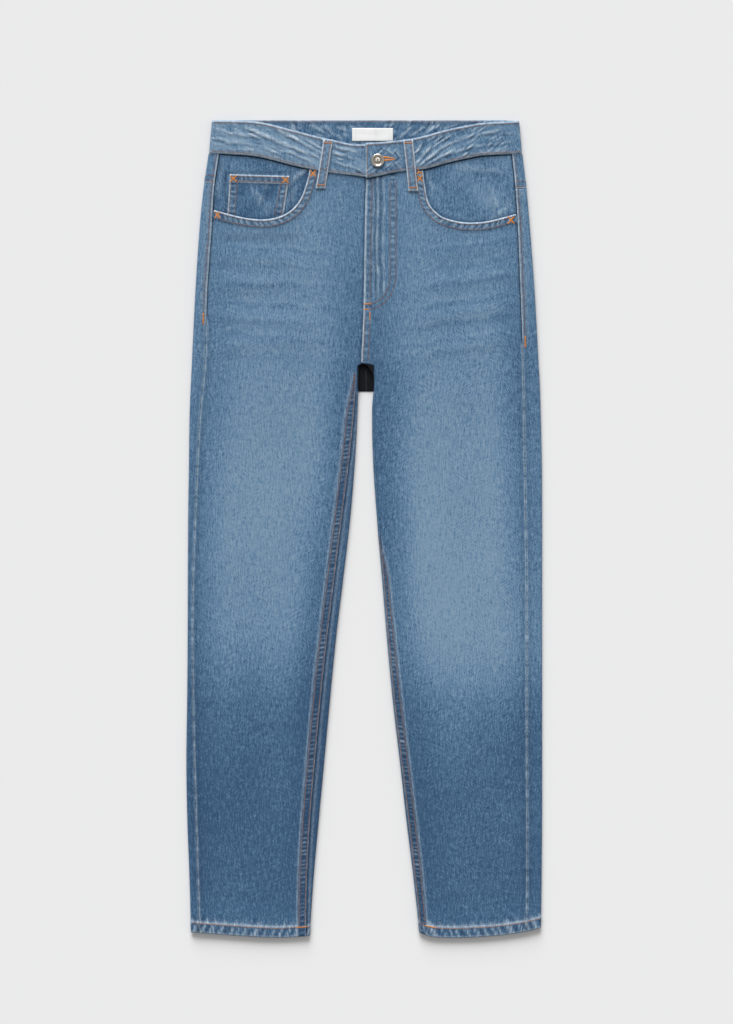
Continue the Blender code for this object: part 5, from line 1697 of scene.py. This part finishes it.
# %% Twill weave group
def make_twill_group():
    """Slanting ribs and the single threads in them, in millimetres of cloth."""
    group, source, sink = new_group("Twill weave", [("Cloth", (0.0, 0.0, 0.0)), ("Ribs per mm", 1.5)],
                                    [("Ribs", "NodeSocketFloat"), ("Threads", "NodeSocketFloat")])
    turned_cloth = turned(group, source.outputs["Cloth"], 28, (1, 1, 1))
    parts = group.nodes.new("ShaderNodeSeparateXYZ")
    feed(group, parts.inputs[0], turned_cloth)
    bend = noise(group, source.outputs["Cloth"], 0.35, 1.0)
    place = maths(group, "ADD", parts.outputs[0], maths(group, "MULTIPLY", bend, 1.2))
    counted = maths(group, "MULTIPLY", place, source.outputs["Ribs per mm"])
    turns = maths(group, "MULTIPLY", counted, 2 * math.pi)
    ribs = maths(group, "MULTIPLY_ADD", maths(group, "SINE", turns), 0.5, 0.5)
    plain = group.nodes.new("ShaderNodeSeparateXYZ")
    feed(group, plain.inputs[0], source.outputs["Cloth"])
    warp = maths(group, "SINE", maths(group, "MULTIPLY", plain.outputs[0], 2 * math.pi * 2.1))
    feed(group, sink.inputs["Ribs"], ribs)
    feed(group, sink.inputs["Threads"], maths(group, "MULTIPLY_ADD", warp, 0.5, 0.5))
    return group


# %% Yarn flecks group
def make_fleck_group():
    """Uneven yarn: streaks down the cloth, and short slanting flecks."""
    group, source, sink = new_group("Yarn flecks", [("Cloth", (0.0, 0.0, 0.0)), ("Size", 1.0)],
                                    [("Streaks", "NodeSocketFloat"), ("Flecks", "NodeSocketFloat"),
                                     ("Specks", "NodeSocketFloat")])
    size = group.nodes.new("ShaderNodeVectorMath")
    size.operation = "SCALE"
    feed(group, size.inputs[0], source.outputs["Cloth"])
    feed(group, size.inputs["Scale"], source.outputs["Size"])
    cloth = size.outputs[0]
    down = noise(group, scaled(group, cloth, (1.0, 0.085, 1.0)), 0.85, 2.0, 0.6)
    slant_a = noise(group, turned(group, cloth, 36, (1.0, 0.22, 1.0)), 0.88, 2.0, 0.6)
    slant_b = noise(group, turned(group, cloth, -32, (1.0, 0.22, 1.0)), 0.88, 2.0, 0.6)
    where = stretched(group, noise(group, cloth, 0.02, 1.0), 0.42, 0.58)
    flecks = group.nodes.new("ShaderNodeMix")
    feed(group, flecks.inputs["Factor"], where)
    feed(group, flecks.inputs[2], slant_a)
    feed(group, flecks.inputs[3], slant_b)
    specks = noise(group, scaled(group, cloth, (1.0, 0.7, 1.0)), 1.1, 2.0, 0.6)
    feed(group, sink.inputs["Streaks"], stretched(group, down, 0.32, 0.68, -1.0, 1.0))
    feed(group, sink.inputs["Flecks"], stretched(group, flecks.outputs[0], 0.32, 0.68, -1.0, 1.0))
    feed(group, sink.inputs["Specks"], stretched(group, specks, 0.32, 0.68, -1.0, 1.0))
    return group


# %% Wash group
def make_wash_group():
    """Cloudy unevenness of the wash, in two sizes."""
    group, source, sink = new_group("Wash clouds", [("Cloth", (0.0, 0.0, 0.0)), ("Spread", 1.0)],
                                    [("Clouds", "NodeSocketFloat")])
    wide = noise(group, scaled(group, source.outputs["Cloth"], (1.0, 0.45, 1.0)), 0.022, 3.0, 0.6)
    small = noise(group, source.outputs["Cloth"], 0.16, 2.0, 0.55)
    centred = stretched(group, weighted(group, (wide, 0.6), (small, 0.4)), 0.36, 0.64, -1.0, 1.0)
    feed(group, sink.inputs["Clouds"], maths(group, "MULTIPLY", centred, source.outputs["Spread"]))
    return group


twill_group = make_twill_group()
fleck_group = make_fleck_group()
wash_group = make_wash_group()
print("groups:", twill_group.name, fleck_group.name, wash_group.name)

# %% [markdown]
# ## Dye and wear
# The dye is a ramp from fresh indigo to pale blue that the fade number walks along, moved a little by
# yarn and wash. On edges and ridges the surface dye is gone and the white core of the warp shows, so
# the worn number mixes in an uneven chalk blue. The deep number darkens the cloth towards dark indigo:
# partly dye that never rubbed beside seams, partly painted shade in hollows and grooves, beside raised
# edges and under the waistband. Above one it paints near-black shadow, as in the crotch slot.

# %% Denim group
DYE = ((0.0, srgb(46, 78, 110)), (0.35, srgb(75, 109, 140)), (0.7, srgb(100, 133, 162)),
       (1.0, srgb(126, 151, 173)))
CHALK = srgb(196, 211, 222)
# Dark indigo for unworn dye, also used as painted shade; near black for painted shadow, as in the crotch
# slot.
UNWORN_DYE_AND_SHADE = srgb(24, 42, 68)
BLACK_PAINTED_SHADE = srgb(9, 12, 18)


def ramp(tree, factor, stops):
    node = tree.nodes.new("ShaderNodeValToRGB")
    feed(tree, node.inputs[0], factor)
    elements = node.color_ramp.elements
    while len(elements) < len(stops):
        elements.new(0.5)
    for element, (place, colour) in zip(elements, stops):
        element.position = place
        element.color = colour
    return node.outputs[0]


def put_group(tree, group, **values):
    node = tree.nodes.new("ShaderNodeGroup")
    node.node_tree = group
    for name, value in values.items():
        feed(tree, node.inputs[name.replace("_", " ")], value)
    return node


def make_denim_group():
    group, source, sink = new_group(
        "Faded denim",
        [("Cloth", (0.0, 0.0, 0.0)), ("Fade", 0.5), ("Worn", 0.0), ("Deep", 0.0), ("Fleck strength", 1.0),
         ("Fleck size", 1.0)],
        [("Colour", "NodeSocketColor"), ("Roughness", "NodeSocketFloat"), ("Relief", "NodeSocketFloat")])
    cloth, strength = source.outputs["Cloth"], source.outputs["Fleck strength"]
    flecks = put_group(group, fleck_group, Cloth=cloth, Size=source.outputs["Fleck size"])
    twill = put_group(group, twill_group, Cloth=cloth)
    clouds = put_group(group, wash_group, Cloth=cloth)
    grain = weighted(group, (flecks.outputs["Streaks"], 0.24), (flecks.outputs["Flecks"], 0.36),
                     (flecks.outputs["Specks"], 0.26))
    grain = maths(group, "MULTIPLY", grain, strength)
    ribs = maths(group, "MULTIPLY_ADD", twill.outputs["Ribs"], 0.10, -0.05)
    fade = maths(group, "ADD", maths(group, "ADD", source.outputs["Fade"], grain), ribs)
    fade = maths(group, "ADD", fade, maths(group, "MULTIPLY", clouds.outputs["Clouds"], 0.055))
    dyed = ramp(group, fade, DYE)
    rubbed = maths(group, "MULTIPLY_ADD", grain, 1.1, 1.0)
    rubbed = maths(group, "MULTIPLY", source.outputs["Worn"], rubbed, clamp=True)
    worn = mixed(group, rubbed, dyed, CHALK)
    # Painted shade and unworn dye darken the colour towards dark indigo; above one, the deep number paints
    # near-black shadow.
    shade = maths(group, "MULTIPLY", source.outputs["Deep"], 0.9, clamp=True)
    shade_and_unworn_dye = mixed(group, shade, worn, UNWORN_DYE_AND_SHADE)
    black_shade_amount = maths(group, "SUBTRACT", source.outputs["Deep"], 1.0, clamp=True)
    feed(group, sink.inputs["Colour"], mixed(group, black_shade_amount, shade_and_unworn_dye, BLACK_PAINTED_SHADE))
    rough = maths(group, "MULTIPLY_ADD", flecks.outputs["Specks"], 0.05, 0.84)
    feed(group, sink.inputs["Roughness"], rough)
    relief = weighted(group, (twill.outputs["Ribs"], 0.5), (flecks.outputs["Flecks"], 0.6),
                      (twill.outputs["Threads"], 0.2), (flecks.outputs["Streaks"], 0.4))
    feed(group, sink.inputs["Relief"], relief)
    return group


denim_group = make_denim_group()


# %% Denim materials
def new_material(name):
    material = bpy.data.materials.new(name)
    material.use_nodes = True
    tree = material.node_tree
    return material, tree, tree.nodes["Principled BSDF"]


def add_relief(tree, shader, height, millimetres, strength):
    """Fine relief, as high as the given millimetres."""
    relief = tree.nodes.new("ShaderNodeBump")
    relief.inputs["Strength"].default_value = strength
    relief.inputs["Distance"].default_value = millimetres * MM
    feed(tree, relief.inputs["Height"], height)
    feed(tree, shader.inputs["Normal"], relief.outputs[0])


def denim(name, fleck_strength=1.0, fleck_size=1.0):
    """Washed denim that reads fade, wear and depth from the piece's own points."""
    material, tree, shader = new_material(name)
    cloth = attribute(tree, "cloth", "Vector")
    look = put_group(tree, denim_group, Cloth=cloth, Fade=attribute(tree, "fade"),
                     Worn=attribute(tree, "worn"), Deep=attribute(tree, "shade_and_unworn_dye"),
                     Fleck_strength=fleck_strength, Fleck_size=fleck_size)
    feed(tree, shader.inputs["Base Color"], look.outputs["Colour"])
    feed(tree, shader.inputs["Roughness"], look.outputs["Roughness"])
    shader.inputs["Specular IOR Level"].default_value = 0.18
    shader.inputs["Sheen Weight"].default_value = 0.10
    shader.inputs["Sheen Roughness"].default_value = 0.5
    add_relief(tree, shader, look.outputs["Relief"], 0.16, 0.55)
    return material


denim_faded = denim("denim_faded_mat")
denim_band = denim("denim_band_mat", 1.15, 1.1)
denim_dark = denim("denim_dark_mat", 1.1, 0.95)
print("denim materials:", denim_faded.name, denim_band.name, denim_dark.name)

# %% [markdown]
# ## Thread, label and button
# Topstitching thread is thick and twisted: brown here, weathered towards grey where the wash caught
# it, and bright orange for the tacks. The label is a tight white satin. The button is nickel with a
# dark patina left in its hollows.

# %% Thread materials
def make_thread_group():
    group, source, sink = new_group(
        "Twisted thread", [("Tint", (0.5, 0.3, 0.2, 1.0)), ("Pale", (0.7, 0.6, 0.5, 1.0)), ("Shade", 0.5)],
        [("Colour", "NodeSocketColor"), ("Relief", "NodeSocketFloat")])
    coordinates = group.nodes.new("ShaderNodeTexCoord")
    strands = noise(group, turned(group, coordinates.outputs["Object"], 45, (1.0, 0.3, 1.0)), 2400.0, 2.0)
    washed = maths(group, "MULTIPLY_ADD", source.outputs["Shade"], 0.5, -0.06)
    washed = maths(group, "ADD", washed, maths(group, "MULTIPLY_ADD", strands, 0.5, -0.25), clamp=True)
    feed(group, sink.inputs["Colour"], mixed(group, washed, source.outputs["Tint"], source.outputs["Pale"]))
    feed(group, sink.inputs["Relief"], strands)
    return group


thread_group = make_thread_group()


def thread(name, tint, pale):
    material, tree, shader = new_material(name)
    look = put_group(tree, thread_group, Tint=tint, Pale=pale, Shade=attribute(tree, "shade"))
    feed(tree, shader.inputs["Base Color"], look.outputs["Colour"])
    shader.inputs["Roughness"].default_value = 0.62
    shader.inputs["Sheen Weight"].default_value = 0.1
    add_relief(tree, shader, look.outputs["Relief"], 0.12, 0.5)
    return material


brown_thread = thread("thread_brown_mat", srgb(112, 70, 48), srgb(162, 122, 96))
orange_thread = thread("thread_orange_mat", srgb(206, 126, 40), srgb(232, 168, 84))
amber_thread = thread("thread_amber_mat", srgb(158, 104, 66), srgb(206, 150, 100))
white_thread = thread("thread_white_mat", srgb(226, 226, 222), srgb(240, 240, 238))


# %% Label and button materials
def label_material():
    material, tree, shader = new_material("label_satin_mat")
    cloth = attribute(tree, "cloth", "Vector")
    twill = put_group(tree, twill_group, Cloth=cloth, Ribs_per_mm=2.4)
    clouds = put_group(tree, wash_group, Cloth=cloth)
    soft = maths(tree, "MULTIPLY_ADD", clouds.outputs["Clouds"], 0.2, 0.5)
    base = mixed(tree, soft, srgb(226, 226, 225), srgb(240, 240, 239))
    # Grey mixed in where the label has painted shade beside its raised ends.
    shade = maths(tree, "MULTIPLY", attribute(tree, "shade_and_unworn_dye"), 0.5, clamp=True)
    feed(tree, shader.inputs["Base Color"], mixed(tree, shade, base, srgb(170, 172, 176)))
    shader.inputs["Roughness"].default_value = 0.6
    threads = maths(tree, "ADD", twill.outputs["Ribs"], twill.outputs["Threads"])
    add_relief(tree, shader, threads, 0.05, 0.4)
    return material


def button_material():
    material, tree, shader = new_material("button_metal_mat")
    coordinates = tree.nodes.new("ShaderNodeTexCoord")
    specks = noise(tree, coordinates.outputs["Object"], 900.0, 3.0, 0.6)
    worn = maths(tree, "MULTIPLY_ADD", specks, 0.5, -0.25)
    dark = maths(tree, "ADD", attribute(tree, "patina"), worn, clamp=True)
    feed(tree, shader.inputs["Base Color"], mixed(tree, dark, srgb(206, 200, 190), srgb(70, 62, 54)))
    shader.inputs["Metallic"].default_value = 1.0
    feed(tree, shader.inputs["Roughness"], stretched(tree, dark, 0.0, 1.0, 0.26, 0.55))
    add_relief(tree, shader, specks, 0.08, 0.4)
    return material


def dress(pieces, material):
    for piece in pieces:
        piece.data.materials.clear()
        piece.data.materials.append(material)


for pieces in (fronts, mouth_hems, fells, backs, back_pockets):
    dress(pieces.values(), denim_faded)
dress([waistband, *front_loops.values(), *back_loops.values()], denim_band)
dress([*facings.values(), coin_pocket, *yokes.values()], denim_dark)
dress([label], label_material())
dress([button], button_material())
dress([leg_stitching, hip_stitching, fly_stitching, band_stitching, under_stitching], brown_thread)
dress([tack_stitching], orange_thread)
dress([loop_tack_stitching, hem_stitching], amber_thread)
dress([label_stitching], white_thread)

# %% [markdown]
# ## Which solid each piece stands for
# Each cloth piece replaces its own node, whose solid is hidden. The cut size each piece carried while
# it was built, the greatest width and length of its flat outline and the area inside it, is taken off.

# %% Replace the solids and drop the cut sizes
def stand_for(piece, node):
    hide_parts(node)
    del piece["cut"]


for side, name in SIDES.items():
    del mouth_hems[side]["cut"], fells[side]["cut"]
    stand_for(backs[side], f"back_panel_{name}")
    stand_for(fronts[side], f"front_panel_{name}")
    stand_for(yokes[side], f"back_yoke_{name}")
    stand_for(back_pockets[side], f"back_pocket_{name}")
    stand_for(facings[side], f"pocket_facing_{name}")
    stand_for(front_loops[side], f"belt_loop_front_{name}")
for name, piece in back_loops.items():
    stand_for(piece, f"belt_loop_back_{name}")
stand_for(coin_pocket, "coin_pocket")
stand_for(waistband, "waistband")
stand_for(label, "label")
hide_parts("button")

# %% [markdown]
# ## Floor, light and camera
# The garment lies on a plain pale sheet. A broad sky gives most of the light, and one large soft lamp
# beyond the waistband rakes down the legs, so the hems throw a soft shadow towards the viewer. The
# camera hangs straight above with a long lens, as far as a copy stand allows.

# %% Floor and light
FLOOR_Z = -0.0006


def add_floor():
    reach = 4.0
    corners = [(x * reach, y * reach, FLOOR_Z) for x, y in ((-1, -1), (1, -1), (1, 1), (-1, 1))]
    floor = mesh_object("floor", corners, [(0, 1, 2, 3)])
    material, _, shader = new_material("floor_paper_mat")
    shader.inputs["Base Color"].default_value = (0.80, 0.80, 0.80, 1.0)
    shader.inputs["Roughness"].default_value = 0.95
    shader.inputs["Specular IOR Level"].default_value = 0.0
    floor.data.materials.append(material)


SKY_STRENGTH = 0.455
SUN_STRENGTH = 3.88
SUN_TILT = 62
SUN_SOFTNESS = 42


def add_light():
    sky = bpy.data.worlds.new("studio")
    bpy.context.scene.world = sky
    sky.use_nodes = True
    background = sky.node_tree.nodes["Background"]
    background.inputs["Color"].default_value = (1.0, 0.985, 0.965, 1.0)
    background.inputs["Strength"].default_value = SKY_STRENGTH
    lamp = bpy.data.lights.new("window", "SUN")
    lamp.energy = SUN_STRENGTH
    lamp.angle = math.radians(SUN_SOFTNESS)
    lamp.color = (1.0, 1.012, 1.034)
    holder = bpy.data.objects.new("window", lamp)
    holder.rotation_euler = (math.radians(-SUN_TILT), 0.0, math.radians(8))
    bpy.context.scene.collection.objects.link(holder)


add_floor()
add_light()
bpy.context.scene.view_settings.view_transform = "Standard"

# %% Camera
PHOTO_SIZE = (733, 1024)
MM_PER_PIXEL = 1.2239
ORIGIN_PIXEL = (364.2, 529.0)
CAMERA_HEIGHT = 6.0
SENSOR = 36.0


def add_camera():
    camera = bpy.data.cameras.new("copy_stand")
    camera.sensor_width = SENSOR
    camera.lens = SENSOR * CAMERA_HEIGHT / (PHOTO_SIZE[1] * MM_PER_PIXEL * MM)
    camera.clip_end = 50
    holder = bpy.data.objects.new("copy_stand", camera)
    x = (PHOTO_SIZE[0] / 2 - ORIGIN_PIXEL[0]) * MM_PER_PIXEL * MM
    y = (ORIGIN_PIXEL[1] - PHOTO_SIZE[1] / 2) * MM_PER_PIXEL * MM
    holder.location = (x, y, CAMERA_HEIGHT)
    bpy.context.scene.collection.objects.link(holder)
    bpy.context.scene.camera = holder
    print("lens in mm:", round(camera.lens, 1))


add_camera()

# %% [markdown]
# ## The end
# The dressed part has to stay inside the solid's box, give or take what soft cloth stands proud. The
# view layer is brought up to date at the end.

# %% Finish
bpy.context.view_layer.update()
